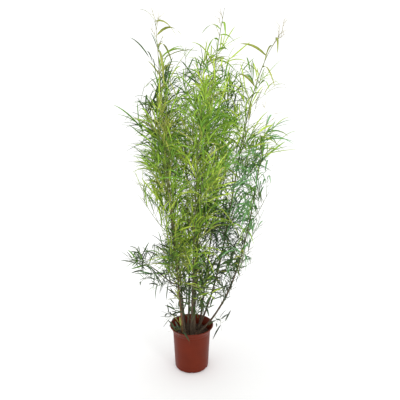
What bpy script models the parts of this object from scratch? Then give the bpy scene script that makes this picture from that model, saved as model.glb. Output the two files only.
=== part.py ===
"""A potted shrub with long narrow leaves, built as separate closed solids.

Ten slender woody stems rise from one clump in a nursery pot. Each stem ends in a
head of foliage and carries side masses of foliage, and every mass keeps to its own
space. Units are metres, +Z is up, the plant's front faces -Y, and the origin is the
centre of the pot's flat underside.
"""
import math
import random
from dataclasses import dataclass

import bmesh
import bpy
import numpy as np
from mathutils.bvhtree import BVHTree

GAP = 0.0003                # clearance between pieces that rest on each other
UP = np.array((0.0, 0.0, 1.0))
ASIDE = np.array((0.17, 0.11, 0.0))     # tips a reference direction off the vertical
GOLDEN_TURN = math.radians(137.5)
SHARP_ANGLE = math.radians(65)          # edges that turn by more than this stay sharp

# Pot, a moulded nursery pot that is turned about the Z axis.
POT_SEGMENTS = 32
POT_HEIGHT = 0.235
RIM_RADIUS = 0.110
LIP_THICKNESS = 0.0050
LIP_START = -60             # degrees, where the rolled lip's round leaves the collar
COLLAR_HEIGHT = 0.034
COLLAR_STEP = 0.0020        # how far the collar stands out of the body at its foot
COLLAR_STEP_HEIGHT = 0.003
COLLAR_MIDDLE_HEIGHT = 0.016
COLLAR_MIDDLE_FLARE = 0.0060
COLLAR_WALL = 0.0020
BODY_TOP_RADIUS = 0.094
BASE_RADIUS = 0.085
FOOT_ROUND = 0.010
WALL = 0.0026
FLOOR = 0.0030
DRAIN_COUNT = 6
DRAIN_WIDTH = 0.016
DRAIN_HEIGHT = 0.007
DRAIN_DEPTH = 0.015         # how far a notch reaches in from the base radius

# Soil, which fills the pot to a low mound under the stems.
SOIL_EDGE_HEIGHT = 0.189
SOIL_MOUND_HEIGHT = 0.196
MOUND_RADIUS = 0.068
SOIL_SLOPE_SHARES = (0.33, 0.67)
SOIL_LUMP = 0.0020
SOIL_SEED = 5

# Stems. The stem's own solid ends where its head of foliage takes over.
STEM_SIDES = 6
STEM_RINGS = 13
STEM_SHARE = 0.74
STEM_TAPER = 0.50
FLARE = 1.8
FLARE_FADE = 2.6

# Main twigs. A pair holds the value on a stem's lowest and on its highest shoot.
TWIG_SIDES = 3
TWIG_RADIUS = 0.0028
SIDE_TWIG_RADIUS = 0.0024
TWIG_TIP_SHARE = 0.45
HEAD_POINTS = 6
SHOOT_POINTS = 5
SHOOT_OUT = 0.22            # share of a shoot that runs straight out of its stem
SHOOT_BEND = 0.62           # share at which it has bent up to its own rise
SHOOT_SWING = (60, 46)      # degrees to either side of the stem's own bearing
SHOOT_RISE = (62, 52)       # degrees above the level
SHOOT_GROWTH = (0.90, 1.15)
LEAF_GROWTH = (0.80, 1.00)
SHOOT_SAG = 0.04
SHOOT_SPACING = 0.034
TURN_TRIES = 13
TURN_STEP = 12              # degrees
ROOM_GAIN = 0.004           # a shoot is turned further only for this much more room
ROOT_RUNS = 0.5             # runs of a path past its root that need no room
ROOM_SAMPLES = 4            # samples to each run of a path

# Side twigs within a mass.
SIDE_TWIG_LENGTH = 0.105
SIDE_TWIG_SHRINK = 0.2
SIDE_TWIG_AIM = (0.55, 0.62, 0.35)      # shares along the main twig, out of it, and up
SIDE_TWIG_SAG = 0.10
SIDE_TWIG_RETRY_TURN = 1.1
ROOT_SINK = 0.45            # share of a twig's radius that a root is sunk beyond its axis

# Leaves. A leaf is widest at WIDEST of its length. The angles are in radians.
LEAF_WIDTH = 0.027
LEAF_THICKNESS = 0.0024
WIDEST = 0.36
DROOP_SHORTENS = 0.4
LEAF_RISE = 0.25
LEAF_ROLL = 0.5
LEAF_SPREAD = (math.radians(60), math.radians(30))      # at a twig's root and at its tip
LEAF_LENGTHS = (0.95, 1.25)
LEAF_DROOPS = (0.5, 1.2)
BARE_SHARE = 0.14           # the part of a twig before its first leaf
LEAFY_SHARE = 0.84
MAIN_TWIG_TURN = 3          # every third leaf is on the main twig
TIP_LEAF_LENGTH = 0.80
TIP_LEAF_WIDTH = 0.85
TIP_LEAF_SPREAD = 0.12
TIP_LEAF_SINK = 0.003
TRIES = 14
RETRY_TURN = 2.2
RETRY_LENGTH = 0.965
LEAF_ROOM = 0.0016          # how much wider and thicker a leaf's room is than the leaf
SPACE_MARGIN = 0.0030
POT_ROOM = 0.006

# Fusing.
NUDGES = (0.0, 0.0003, -0.0005)
NUDGE_TURN = 50             # degrees from one piece's nudge to the next
WELD = 4e-6
LEAST_FACES = 40

# The crown's outline: height, then its reach to the left, to the right, and in depth.
CROWN_LEVELS = (
    (0.20, 0.150, 0.140, 0.150),
    (0.36, 0.170, 0.180, 0.210),
    (0.50, 0.260, 0.300, 0.260),
    (0.64, 0.360, 0.320, 0.290),
    (0.78, 0.280, 0.360, 0.310),
    (0.95, 0.310, 0.390, 0.340),
    (1.25, 0.350, 0.520, 0.370),
    (1.50, 0.310, 0.500, 0.350),
    (1.66, 0.280, 0.510, 0.270),
)
CROWN_TOP = 1.762

LIME = (0.30, 0.42, 0.07)
LEAF_GREEN = (0.20, 0.33, 0.07)
DEEP_GREEN = (0.09, 0.16, 0.05)
BLUE_GREEN = (0.14, 0.27, 0.11)
BARK = (0.15, 0.09, 0.05)
TERRACOTTA = (0.16, 0.035, 0.017)
SOIL_BROWN = (0.035, 0.018, 0.012)


@dataclass
class Stem:
    """A cubic Bezier centre line from the foot to the tip, and what grows on it."""
    foot: tuple
    low: tuple
    high: tuple
    tip: tuple
    radius: float
    bearing: float          # degrees from +X towards +Y, the side that its shoots are on
    shoots: int
    lowest_ring: int        # the ring that its lowest side shoot grows from
    shoot_length: float
    leaf_length: float
    colour: tuple


STEMS = {
    "left": Stem((-0.045, -0.015), (-0.080, -0.025, 0.730), (-0.120, -0.040, 1.220),
                 (-0.145, -0.060, 1.705), 0.0050, 185, 4, 4, 0.24, 0.17, LEAF_GREEN),
    "mid_left": Stem((-0.020, 0.010), (0.010, 0.030, 0.600), (-0.045, 0.065, 1.100),
                     (-0.020, 0.080, 1.560), 0.0046, 110, 3, 3, 0.20, 0.16, LEAF_GREEN),
    "centre": Stem((0.010, -0.010), (0.030, 0.010, 0.735), (0.055, 0.035, 1.255),
                   (0.150, 0.050, 1.755), 0.0062, 330, 4, 2, 0.22, 0.16, LEAF_GREEN),
    "right": Stem((0.030, 0.015), (0.235, 0.040, 0.640), (0.185, 0.075, 1.380),
                  (0.415, 0.095, 1.660), 0.0046, 20, 3, 5, 0.21, 0.18, LIME),
    "arching": Stem((0.035, -0.020), (0.285, -0.005, 0.430), (0.295, -0.025, 0.985),
                    (0.345, -0.045, 1.305), 0.0048, 345, 4, 3, 0.20, 0.16, BLUE_GREEN),
    "front": Stem((-0.005, -0.035), (0.020, -0.110, 0.600), (0.010, -0.170, 1.050),
                  (0.060, -0.190, 1.440), 0.0046, 265, 3, 3, 0.21, 0.16, LIME),
    "front_left": Stem((-0.030, -0.045), (-0.070, -0.090, 0.550), (-0.100, -0.140, 0.950),
                       (-0.120, -0.180, 1.340), 0.0044, 225, 2, 5, 0.21, 0.16, LEAF_GREEN),
    "back": Stem((0.005, 0.040), (0.020, 0.110, 0.650), (0.050, 0.190, 1.050),
                 (0.060, 0.240, 1.520), 0.0048, 85, 3, 4, 0.22, 0.16, LEAF_GREEN),
    "back_left": Stem((-0.035, 0.035), (-0.070, 0.090, 0.600), (-0.110, 0.140, 1.000),
                      (-0.130, 0.180, 1.440), 0.0046, 135, 2, 4, 0.21, 0.16, LEAF_GREEN),
    "back_right": Stem((0.040, 0.045), (0.090, 0.090, 0.600), (0.140, 0.150, 1.000),
                       (0.190, 0.200, 1.460), 0.0046, 45, 3, 3, 0.21, 0.16, DEEP_GREEN),
}

# The one bough that leaves a stem low down and carries a mass of its own.
BOUGH_STEM = "left"
BOUGH_RING = 3
BOUGH_BEARING = 192
BOUGH_LENGTH = 0.17
BOUGH_RISE = 42
BOUGH_SAG = 0.05
BOUGH_RADIUS = 0.0036
BOUGH_SIDES = 6
BOUGH_TWIG_LENGTH = 0.12
BOUGH_TWIG_SAG = 0.04       # metres at the twig's tip
BOUGH_LEAF = 0.12

# Short sprays that hang about the rim: stem, ring, bearing, length, rise.
RIM_SPRAYS = {
    "rim_left": ("left", 1, 200, 0.085, 12),
    "rim_right": ("arching", 2, 330, 0.050, -20),
    "rim_front": ("front_left", 1, 235, 0.085, 8),
}
RIM_SPRAY_SAG = 0.10
RIM_SPRAY_LEAF = 0.070


@dataclass
class Habit:
    """How one kind of mass grows."""
    twig_radius: float
    side_twigs: int
    leaves: int
    leaf_width: float
    droop: float


HEAD = Habit(TWIG_RADIUS, 3, 10, 0.85 * LEAF_WIDTH, 0.55)
SIDE = Habit(TWIG_RADIUS, 2, 9, LEAF_WIDTH, 0.40)
ON_BOUGH = Habit(SIDE_TWIG_RADIUS, 2, 10, 0.70 * LEAF_WIDTH, 0.50)
AT_RIM = Habit(SIDE_TWIG_RADIUS, 0, 6, 0.55 * LEAF_WIDTH, 0.30)


@dataclass
class Shoot:
    """The main twig of one mass of foliage, and the leaves it is to carry."""
    name: str
    path: np.ndarray
    facing: np.ndarray
    habit: Habit
    leaf_length: float
    colour: tuple


@dataclass
class Crown:
    """What a twig or leaf keeps clear of: main twigs, limbs and finished masses."""
    shoots: list
    limbs: list
    finished: list


def unit(vector):
    """The vector at length 1."""
    return vector / np.linalg.norm(vector)


def between(pair, share):
    """The value at a share of the way from a pair's first to its second."""
    return pair[0] + share * (pair[1] - pair[0])


def heading(bearing):
    """The level direction at a bearing in degrees, counted from +X towards +Y."""
    angle = math.radians(bearing)
    return np.array((math.cos(angle), math.sin(angle), 0.0))


def square_to(along):
    """Two unit directions that are square to a direction and to each other."""
    across = unit(np.cross(along, UP + ASIDE))
    return across, np.cross(along, across)


def bezier(handles, steps):
    """Points on the cubic Bezier through four handles, at the given steps 0 to 1."""
    t = np.asarray(steps)[:, None]
    a, b, c, d = (np.asarray(handle, dtype=float) for handle in handles)
    return (1 - t)**3 * a + 3 * (1 - t)**2 * t * b + 3 * (1 - t) * t**2 * c + t**3 * d


def distance_to_path(points, path):
    """How far each point is from a path of straight runs."""
    starts, runs = path[:-1], np.diff(path, axis=0)
    offset = points[:, None, :] - starts[None]
    along = (offset * runs).sum(2) / (runs * runs).sum(1)
    nearest = starts + np.clip(along, 0.0, 1.0)[..., None] * runs
    return np.linalg.norm(points[:, None, :] - nearest, axis=2).min(1)


def make_material(name, colour, roughness):
    """A plain surface with no metal in it."""
    material = bpy.data.materials.new(name)
    material.use_nodes = True
    shader = material.node_tree.nodes["Principled BSDF"]
    shader.inputs["Base Color"].default_value = (*colour, 1.0)
    shader.inputs["Roughness"].default_value = roughness
    shader.inputs["Metallic"].default_value = 0.0
    return material


def make_object(name, shape, material):
    """One object from a pair of vertex and face lists."""
    mesh = bpy.data.meshes.new(name)
    mesh.from_pydata([tuple(vertex) for vertex in shape[0]], [], shape[1])
    mesh.materials.append(material)
    piece = bpy.data.objects.new(name, mesh)
    bpy.context.scene.collection.objects.link(piece)
    return piece


def object_from_bmesh(name, shape, material):
    """One object from a bmesh, which is freed."""
    mesh = bpy.data.meshes.new(name)
    shape.to_mesh(mesh)
    shape.free()
    mesh.materials.append(material)
    piece = bpy.data.objects.new(name, mesh)
    bpy.context.scene.collection.objects.link(piece)
    return piece


def shade_round(piece):
    """Smooth shading, with the edges of flat ends and of steps kept sharp."""
    piece.data.shade_smooth()
    piece.data.set_sharp_from_angle(angle=SHARP_ANGLE)


def tube(path, radii, sides, first_facing=None):
    """Carry a polygon along a path and close both ends flat."""
    runs = np.diff(path, axis=0)
    facings = np.vstack([runs[:1], runs[:-1] + runs[1:], runs[-1:]])
    if first_facing is not None:
        facings[0] = first_facing
    turns = 2 * math.pi * np.arange(sides) / sides
    across = square_to(unit(facings[0]))[0]
    vertices = []
    for centre, facing, radius in zip(path, facings, radii):
        facing = unit(facing)
        across = unit(across - facing * across.dot(facing))
        other = np.cross(facing, across)
        vertices += [centre + radius * (math.cos(a) * across + math.sin(a) * other) for a in turns]
    faces = [tuple(range(sides - 1, -1, -1))]
    for ring in range(len(path) - 1):
        low, high = ring * sides, (ring + 1) * sides
        for side in range(sides):
            after = (side + 1) % sides
            faces.append((low + side, low + after, high + after, high + side))
    last = (len(path) - 1) * sides
    faces.append(tuple(range(last, last + sides)))
    return vertices, faces


def leaf(base, aim, roll, length, width, thickness, droop):
    """A bent blade of eight faces: a root point, a diamond at its widest, and a tip."""
    side, over = square_to(aim)
    flat = -over
    side, flat = (math.cos(roll) * side + math.sin(roll) * flat,
                  math.cos(roll) * flat - math.sin(roll) * side)
    middle = base + WIDEST * length * aim
    towards_tip = unit(unit(aim * (1 - DROOP_SHORTENS * droop) - droop * UP) - WIDEST * aim)
    tip = middle + (1 - WIDEST) * length * towards_tip
    vertices = [base, middle + side * width / 2, middle + flat * thickness / 2,
                middle - side * width / 2, middle - flat * thickness / 2, tip]
    faces = [(0, 2, 1), (0, 3, 2), (0, 4, 3), (0, 1, 4), (5, 1, 2), (5, 2, 3), (5, 3, 4), (5, 4, 1)]
    return vertices, faces


def leaf_samples(vertices, width):
    """Points down the middle of a leaf past its root, with its half width at each."""
    base, tip = vertices[0], vertices[5]
    middle = (vertices[1] + vertices[3]) / 2
    rising = np.linspace(0.25, 1.0, 4)
    falling = np.linspace(0.2, 1.0, 5)
    points = np.vstack([base + rising[:, None] * (middle - base),
                        middle + falling[:, None] * (tip - middle)])
    return points, np.concatenate([rising, 1 - falling]) * width / 2


def turned(profile, segments):
    """A bmesh of a profile of (radius, height) points turned about the Z axis."""
    shape = bmesh.new()
    corners = [shape.verts.new((radius, 0.0, height)) for radius, height in profile]
    edges = [shape.edges.new(pair) for pair in zip(corners, corners[1:])]
    bmesh.ops.spin(shape, geom=corners + edges, cent=(0, 0, 0), axis=(0, 0, 1),
                   angle=2 * math.pi, steps=segments, use_merge=True)
    bmesh.ops.remove_doubles(shape, verts=shape.verts, dist=WELD)
    bmesh.ops.recalc_face_normals(shape, faces=shape.faces)
    return shape


def arc(centre, radius, start, end, count):
    """Points on a profile's round stretch, from one angle in degrees to another."""
    angles = [math.radians(start + (end - start) * i / (count - 1)) for i in range(count)]
    return [(centre[0] + radius * math.cos(a), centre[1] + radius * math.sin(a)) for a in angles]


def pot_inside():
    """The pot's inner wall from the floor's edge up to the foot of the collar."""
    radius = FOOT_ROUND - WALL
    corner = (BASE_RADIUS - FOOT_ROUND, FLOOR + radius)
    return arc(corner, radius, -90, 0, 3) + [(BODY_TOP_RADIUS - WALL, POT_HEIGHT - COLLAR_HEIGHT)]


def make_pot():
    """The turned pot, with drain notches cut through the round edge of its foot."""
    collar_foot = POT_HEIGHT - COLLAR_HEIGHT
    middle_radius = BODY_TOP_RADIUS + COLLAR_MIDDLE_FLARE
    middle_height = collar_foot + COLLAR_MIDDLE_HEIGHT
    lip = LIP_THICKNESS / 2
    profile = [(0.0, 0.0)] + arc((BASE_RADIUS - FOOT_ROUND, FOOT_ROUND), FOOT_ROUND, -90, 0, 3)
    profile += [(BODY_TOP_RADIUS, collar_foot)]
    profile += [(BODY_TOP_RADIUS + COLLAR_STEP, collar_foot + COLLAR_STEP_HEIGHT)]
    profile += [(middle_radius, middle_height)]
    profile += arc((RIM_RADIUS - lip, POT_HEIGHT - lip), lip, LIP_START, 180, 5)
    profile += [(middle_radius - COLLAR_WALL, middle_height)]
    profile += pot_inside()[::-1] + [(0.0, FLOOR)]
    material = make_material("pot_plastic", TERRACOTTA, 0.45)
    pot = object_from_bmesh("pot", turned(profile, POT_SEGMENTS), material)
    notches = bpy.data.collections.new("drain_notches")
    bpy.context.scene.collection.children.link(notches)
    for index in range(DRAIN_COUNT):
        notches.objects.link(make_notch(index))
    union_or_cut(pot, notches, "DIFFERENCE")
    shade_round(pot)


def make_notch(index):
    """A block that cuts one drain notch through the pot's round foot."""
    block = bmesh.new()
    bmesh.ops.create_cube(block, size=1.0)
    bmesh.ops.scale(block, vec=(2 * DRAIN_DEPTH, DRAIN_WIDTH, 2 * DRAIN_HEIGHT), verts=block.verts)
    bmesh.ops.translate(block, vec=(BASE_RADIUS, 0, 0), verts=block.verts)
    turn = math.radians(360 * (index + 0.5) / DRAIN_COUNT)
    for vertex in block.verts:
        x, y, z = vertex.co
        vertex.co = (x * math.cos(turn) - y * math.sin(turn), x * math.sin(turn) + y * math.cos(turn), z)
    mesh = bpy.data.meshes.new("notch")
    block.to_mesh(mesh)
    block.free()
    return bpy.data.objects.new("notch_%d" % index, mesh)


def make_soil():
    """The soil: the pot's inside less the gap, under a lumpy slope and a flat mound."""
    inside = pot_inside()
    wall = [(radius - GAP, height + GAP) for radius, height in inside[:-1]]
    wall_radii, wall_heights = zip(*inside[-2:])
    edge_radius = float(np.interp(SOIL_EDGE_HEIGHT, wall_heights, wall_radii)) - GAP
    slope = [(between((edge_radius, MOUND_RADIUS), share),
              between((SOIL_EDGE_HEIGHT, SOIL_MOUND_HEIGHT), share)) for share in SOIL_SLOPE_SHARES]
    profile = [(0.0, FLOOR + GAP)] + wall + [(edge_radius, SOIL_EDGE_HEIGHT)] + slope
    profile += [(MOUND_RADIUS, SOIL_MOUND_HEIGHT), (0.0, SOIL_MOUND_HEIGHT)]
    shape = turned(profile, POT_SEGMENTS)
    lumps = random.Random(SOIL_SEED)
    for vertex in shape.verts:
        off_mound = math.hypot(vertex.co.x, vertex.co.y) > MOUND_RADIUS + GAP
        if off_mound and vertex.co.z > SOIL_EDGE_HEIGHT + GAP:
            vertex.co.z += lumps.uniform(-SOIL_LUMP, SOIL_LUMP)
    shade_round(object_from_bmesh("soil", shape, make_material("potting_soil", SOIL_BROWN, 0.95)))


def union_or_cut(body, group, operation):
    """Apply one Boolean between a body and a collection, and drop the collection."""
    boolean = body.modifiers.new("boolean", "BOOLEAN")
    boolean.operation = operation
    boolean.operand_type = "COLLECTION"
    boolean.collection = group
    boolean.solver = "EXACT"
    bpy.context.view_layer.update()
    evaluated = body.evaluated_get(bpy.context.evaluated_depsgraph_get())
    result = bpy.data.meshes.new_from_object(evaluated)
    body.modifiers.remove(boolean)
    body.data = result
    for piece in list(group.objects):
        bpy.data.objects.remove(piece)
    bpy.data.collections.remove(group)


def shells_of(shape):
    """The faces of a bmesh in groups that hang together."""
    unseen = set(shape.faces)
    shells = []
    while unseen:
        front = [unseen.pop()]
        shell = list(front)
        while front:
            face = front.pop()
            touching = {other for edge in face.edges for other in edge.link_faces} & unseen
            unseen -= touching
            shell += touching
            front += touching
        shells.append(shell)
    return shells


def keep_main_body(mesh):
    """Weld slivers, drop loose scraps and sealed hollows, and say if it is closed."""
    shape = bmesh.new()
    shape.from_mesh(mesh)
    bmesh.ops.remove_doubles(shape, verts=shape.verts, dist=WELD)
    bmesh.ops.dissolve_degenerate(shape, dist=WELD, edges=shape.edges)
    bmesh.ops.triangulate(shape, faces=shape.faces)
    shells = shells_of(shape)
    main = max(shells, key=len)
    spare = [face for shell in shells if shell is not main for face in shell]
    bmesh.ops.delete(shape, geom=spare, context="FACES")
    closed = all(len(edge.link_faces) == 2 for edge in shape.edges)
    count = len(shape.faces)
    shape.to_mesh(mesh)
    shape.free()
    return closed and count > LEAST_FACES


def fuse(name, shapes, material):
    """Join closed shapes into one solid.

    A union that fails is tried again with its twigs and leaves nudged sideways, and
    then with fewer leaves.
    """
    for count in range(len(shapes), 1, -1):
        for nudge in NUDGES:
            body = make_object(name, shapes[0], material)
            group = bpy.data.collections.new(name + "_pieces")
            bpy.context.scene.collection.children.link(group)
            for index, (vertices, faces) in enumerate(shapes[1:count]):
                moved = [vertex + nudge * heading(NUDGE_TURN * index) for vertex in vertices]
                piece = make_object("%s_piece_%d" % (name, index), (moved, faces), material)
                bpy.context.scene.collection.objects.unlink(piece)
                group.objects.link(piece)
            union_or_cut(body, group, "UNION")
            if keep_main_body(body.data):
                return body
            bpy.data.objects.remove(body)
    raise ValueError("no closed solid for " + name)


def stem_handles(stem):
    """The stem's four handles, its foot standing just clear of the soil."""
    return (*stem.foot, SOIL_MOUND_HEIGHT + GAP), stem.low, stem.high, stem.tip


def stem_path(stem):
    """The ring centres of the stem's own solid."""
    return bezier(stem_handles(stem), np.linspace(0.0, STEM_SHARE, STEM_RINGS + 1))


def stem_radii(stem):
    """The stem's radius at each ring, with a root flare that dies away by ring 2."""
    ring = np.arange(STEM_RINGS + 1)
    taper = between((1.0, STEM_TAPER), ring / STEM_RINGS)
    return stem.radius * (taper + (FLARE - 1.0) * np.exp(-FLARE_FADE * ring))


def side_path(start, facing, bearing, length, rise, sag):
    """A shoot's path: straight out of its stem, then bent up to its own rise."""
    aim = math.cos(math.radians(rise)) * heading(bearing) + math.sin(math.radians(rise)) * UP
    end = start + length * aim - sag * length * UP
    handles = (start, start + SHOOT_OUT * length * facing, start + SHOOT_BEND * length * aim, end)
    return bezier(handles, np.linspace(0.0, 1.0, SHOOT_POINTS))


def off_stem(path, radii, ring, bearing):
    """Where a shoot leaves a stem at one ring, and the way it faces there."""
    along = unit(path[ring + 1] - path[ring - 1])
    out = heading(bearing)
    facing = unit(out - along * out.dot(along))
    return path[ring] + facing * (radii[ring] + GAP), facing


def room_for(path, limbs, shoots):
    """The least room about a path past its root: to limbs and to the other shoots."""
    steps = np.linspace(ROOT_RUNS, len(path) - 1, ROOM_SAMPLES * len(path))
    outer = np.array([np.interp(steps, range(len(path)), axis) for axis in path.T]).T
    rooms = [distance_to_path(outer, limb).min() - radius for limb, radius in limbs]
    rooms += [distance_to_path(outer, shoot.path).min() for shoot in shoots]
    return min(rooms)


def turn_clear(stem, ring, bearing, shape, limbs, shoots):
    """Turn a shoot about its stem, by more and more to either side, until it has room."""
    path, radii = stem_path(stem), stem_radii(stem)
    best_room = -math.inf
    for attempt in range(TURN_TRIES):
        turned_to = bearing + TURN_STEP * ((attempt + 1) // 2) * (-1) ** attempt
        start, facing = off_stem(path, radii, ring, turned_to)
        twig = side_path(start, facing, turned_to, *shape)
        room = room_for(twig, limbs, shoots)
        if room > best_room + ROOM_GAIN:
            best_room, best = room, (twig, facing)
        if room > SHOOT_SPACING:
            break
    return best


def head_shoot(name, stem):
    """The mass that carries a stem on to its tip."""
    path = bezier(stem_handles(stem), np.linspace(STEM_SHARE, 1.0, HEAD_POINTS))
    facing = unit(path[1] - path[0])
    path[0] += GAP * facing
    return Shoot(name + "_head", path, facing, HEAD, stem.leaf_length, stem.colour)


def side_shoot(name, stem, index, limbs, shoots):
    """One side mass of a stem. They take the two sides of the stem's bearing in turn."""
    share = index / (stem.shoots - 1)
    ring = round(stem.lowest_ring + index * (STEM_RINGS - stem.lowest_ring) / stem.shoots)
    bearing = stem.bearing + between(SHOOT_SWING, share) * (-1) ** index
    length = stem.shoot_length * between(SHOOT_GROWTH, share)
    shape = (length, between(SHOOT_RISE, share), SHOOT_SAG)
    twig, facing = turn_clear(stem, ring, bearing, shape, limbs, shoots)
    colour = DEEP_GREEN if index == 0 and name != "front" else stem.colour
    leaf_length = stem.leaf_length * between(LEAF_GROWTH, share)
    return Shoot("%s_side_%d" % (name, index + 1), twig, facing, SIDE, leaf_length, colour)


def plan_shoots(limbs):
    """The main twigs of the masses on the stems: heads, side shoots and rim sprays."""
    shoots = [head_shoot(name, stem) for name, stem in STEMS.items()]
    for name, stem in STEMS.items():
        for index in range(stem.shoots):
            shoots.append(side_shoot(name, stem, index, limbs, shoots))
    for name, (carrier, ring, bearing, length, rise) in RIM_SPRAYS.items():
        shape = (length, rise, RIM_SPRAY_SAG)
        twig, facing = turn_clear(STEMS[carrier], ring, bearing, shape, limbs, shoots)
        shoots.append(Shoot(name + "_spray", twig, facing, AT_RIM, RIM_SPRAY_LEAF, DEEP_GREEN))
    return shoots


def bough_path():
    """The low bough's ring centres, from its stem outwards, and the way its root faces."""
    stem = STEMS[BOUGH_STEM]
    start, facing = off_stem(stem_path(stem), stem_radii(stem), BOUGH_RING, BOUGH_BEARING)
    return side_path(start, facing, BOUGH_BEARING, BOUGH_LENGTH, BOUGH_RISE, BOUGH_SAG), facing


def bough_shoot(path):
    """The mass on the low bough, which grows on from the bough's tip."""
    facing = unit(path[-1] - path[-2])
    steps = np.linspace(0.0, 1.0, HEAD_POINTS)[:, None]
    twig = path[-1] + (GAP + steps * BOUGH_TWIG_LENGTH) * facing - BOUGH_TWIG_SAG * steps**2 * UP
    return Shoot("low_left_foliage", twig, facing, ON_BOUGH, BOUGH_LEAF, DEEP_GREEN)


def in_pot(points):
    """Which points lie in or too near the pot, or under its base."""
    radius = np.hypot(points[:, 0], points[:, 1])
    inside = (radius < RIM_RADIUS + POT_ROOM) & (points[:, 2] < POT_HEIGHT + POT_ROOM)
    return inside | (points[:, 2] < POT_ROOM)


def in_crown(points):
    """Which points lie within the crown's outline, an ellipse at each height."""
    heights, left, right, depth = np.array(CROWN_LEVELS).T
    x, y, z = points.T
    side = np.where(x < 0, np.interp(z, heights, left), np.interp(z, heights, right))
    within = (x / side)**2 + (y / np.interp(z, heights, depth))**2 < 1
    return within & (z < CROWN_TOP)


def has_space(points, widths, own, crown):
    """Whether a twig or leaf keeps to its mass's own space and clear of all limbs.

    A mass's own space is everywhere that lies nearer to its main twig than to any other.
    """
    if in_pot(points).any() or not in_crown(points).all():
        return False
    for limb, radius in crown.limbs:
        if (distance_to_path(points, limb) < radius + widths + SPACE_MARGIN).any():
            return False
    home = distance_to_path(points, own.path)
    others = (shoot for shoot in crown.shoots if shoot is not own)
    return all((distance_to_path(points, other.path) - home >= SPACE_MARGIN).all() for other in others)


def tree_of(shape):
    """A search tree of a shape's faces."""
    return BVHTree.FromPolygons([tuple(vertex) for vertex in shape[0]], shape[1])


def is_clear(shape, others):
    """Whether a closed shape crosses none of the shapes that are already made."""
    tree = tree_of(shape)
    return not any(tree.overlap(other) for other in others)


def grow_side_twig(place, index, radii, dice, own, crown):
    """One side twig, turned about the main twig until it has space, or None."""
    along = unit(own.path[place + 1] - own.path[place])
    across, other = square_to(along)
    reach = SIDE_TWIG_LENGTH * (1.0 - SIDE_TWIG_SHRINK * index)
    steps = np.linspace(0.0, 1.0, 3)[:, None]
    side_radii = SIDE_TWIG_RADIUS * np.linspace(1.0, TWIG_TIP_SHARE, 3)
    first_angle = dice.uniform(0, 2 * math.pi)
    for attempt in range(TRIES):
        angle = first_angle + attempt * SIDE_TWIG_RETRY_TURN
        out = math.cos(angle) * across + math.sin(angle) * other
        aim = unit(SIDE_TWIG_AIM[0] * along + SIDE_TWIG_AIM[1] * out + SIDE_TWIG_AIM[2] * UP)
        root = own.path[place] - aim * radii[place] * ROOT_SINK
        twig = root + steps * reach * aim - SIDE_TWIG_SAG * reach * steps**2 * UP
        room = tube(twig, side_radii + LEAF_ROOM, TWIG_SIDES)
        if has_space(twig[1:], side_radii[1:], own, crown) and is_clear(room, crown.finished):
            return twig, side_radii
    return None


def grow_leaf(root, along, radius, turn, spread, size, dice, own, crown, neighbours):
    """One leaf, turned and shortened until it has space, with its room, or None."""
    length, width, droop = size
    across, other = square_to(along)
    for attempt in range(TRIES):
        angle = turn + attempt * RETRY_TURN
        out = math.cos(angle) * across + math.sin(angle) * other
        aim = unit(math.cos(spread) * along + math.sin(spread) * out + LEAF_RISE * UP)
        length *= RETRY_LENGTH
        base = root - aim * radius * ROOT_SINK
        roll = dice.uniform(-LEAF_ROLL, LEAF_ROLL)
        room = leaf(base, aim, roll, length, width + LEAF_ROOM, LEAF_THICKNESS + LEAF_ROOM, droop)
        points, widths = leaf_samples(room[0], width)
        if has_space(points, widths, own, crown) and is_clear(room, crown.finished + neighbours):
            neighbours.append(tree_of(room))
            return leaf(base, aim, roll, length, width, LEAF_THICKNESS, droop)
    return None


def grow_leaves(twigs, dice, own, crown):
    """The leaves of one mass: spaced along its twigs by the golden turn, and at their tips."""
    habit = own.habit
    leaves, neighbours = [], []
    turn = dice.uniform(0, 2 * math.pi)
    for index in range(habit.leaves):
        path, radii = twigs[index % len(twigs)] if index % MAIN_TWIG_TURN else twigs[0]
        along_twig = BARE_SHARE + LEAFY_SHARE * (index + 0.5) / habit.leaves
        place = int(along_twig * (len(path) - 1))
        root = between((path[place], path[place + 1]), along_twig * (len(path) - 1) - place)
        along = unit(path[place + 1] - path[place])
        length = own.leaf_length * dice.uniform(*LEAF_LENGTHS)
        size = (length, habit.leaf_width, habit.droop * dice.uniform(*LEAF_DROOPS))
        turn += GOLDEN_TURN
        leaves.append(grow_leaf(root, along, radii[place + 1], turn, between(LEAF_SPREAD, along_twig),
                                size, dice, own, crown, neighbours))
    for path, radii in twigs:
        along = unit(path[-1] - path[-2])
        size = (own.leaf_length * TIP_LEAF_LENGTH, habit.leaf_width * TIP_LEAF_WIDTH, habit.droop)
        root = path[-1] - TIP_LEAF_SINK * along
        leaves.append(grow_leaf(root, along, radii[-1], turn, TIP_LEAF_SPREAD,
                                size, dice, own, crown, neighbours))
    return [blade for blade in leaves if blade is not None]


def make_mass(own, crown):
    """One mass: a main twig, side twigs and leaves, all fused into one solid."""
    dice = random.Random(own.name)
    radii = own.habit.twig_radius * np.linspace(1.0, TWIG_TIP_SHARE, len(own.path))
    side_twigs = [grow_side_twig(1 + index, index, radii, dice, own, crown)
                  for index in range(own.habit.side_twigs)]
    twigs = [(own.path, radii)] + [twig for twig in side_twigs if twig is not None]
    shapes = [tube(own.path, radii, TWIG_SIDES, own.facing)]
    shapes += [tube(path, twig_radii, TWIG_SIDES) for path, twig_radii in twigs[1:]]
    shapes += grow_leaves(twigs, dice, own, crown)
    body = fuse(own.name, shapes, make_material(own.name + "_green", own.colour, 0.55))
    faces = [tuple(face.vertices) for face in body.data.polygons]
    crown.finished.append(tree_of(([vertex.co for vertex in body.data.vertices], faces)))


def make_limb(name, path, radii, sides, facing):
    """A stem or bough in its own bark."""
    shade_round(make_object(name, tube(path, radii, sides, facing),
                            make_material(name + "_bark", BARK, 0.8)))


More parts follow.
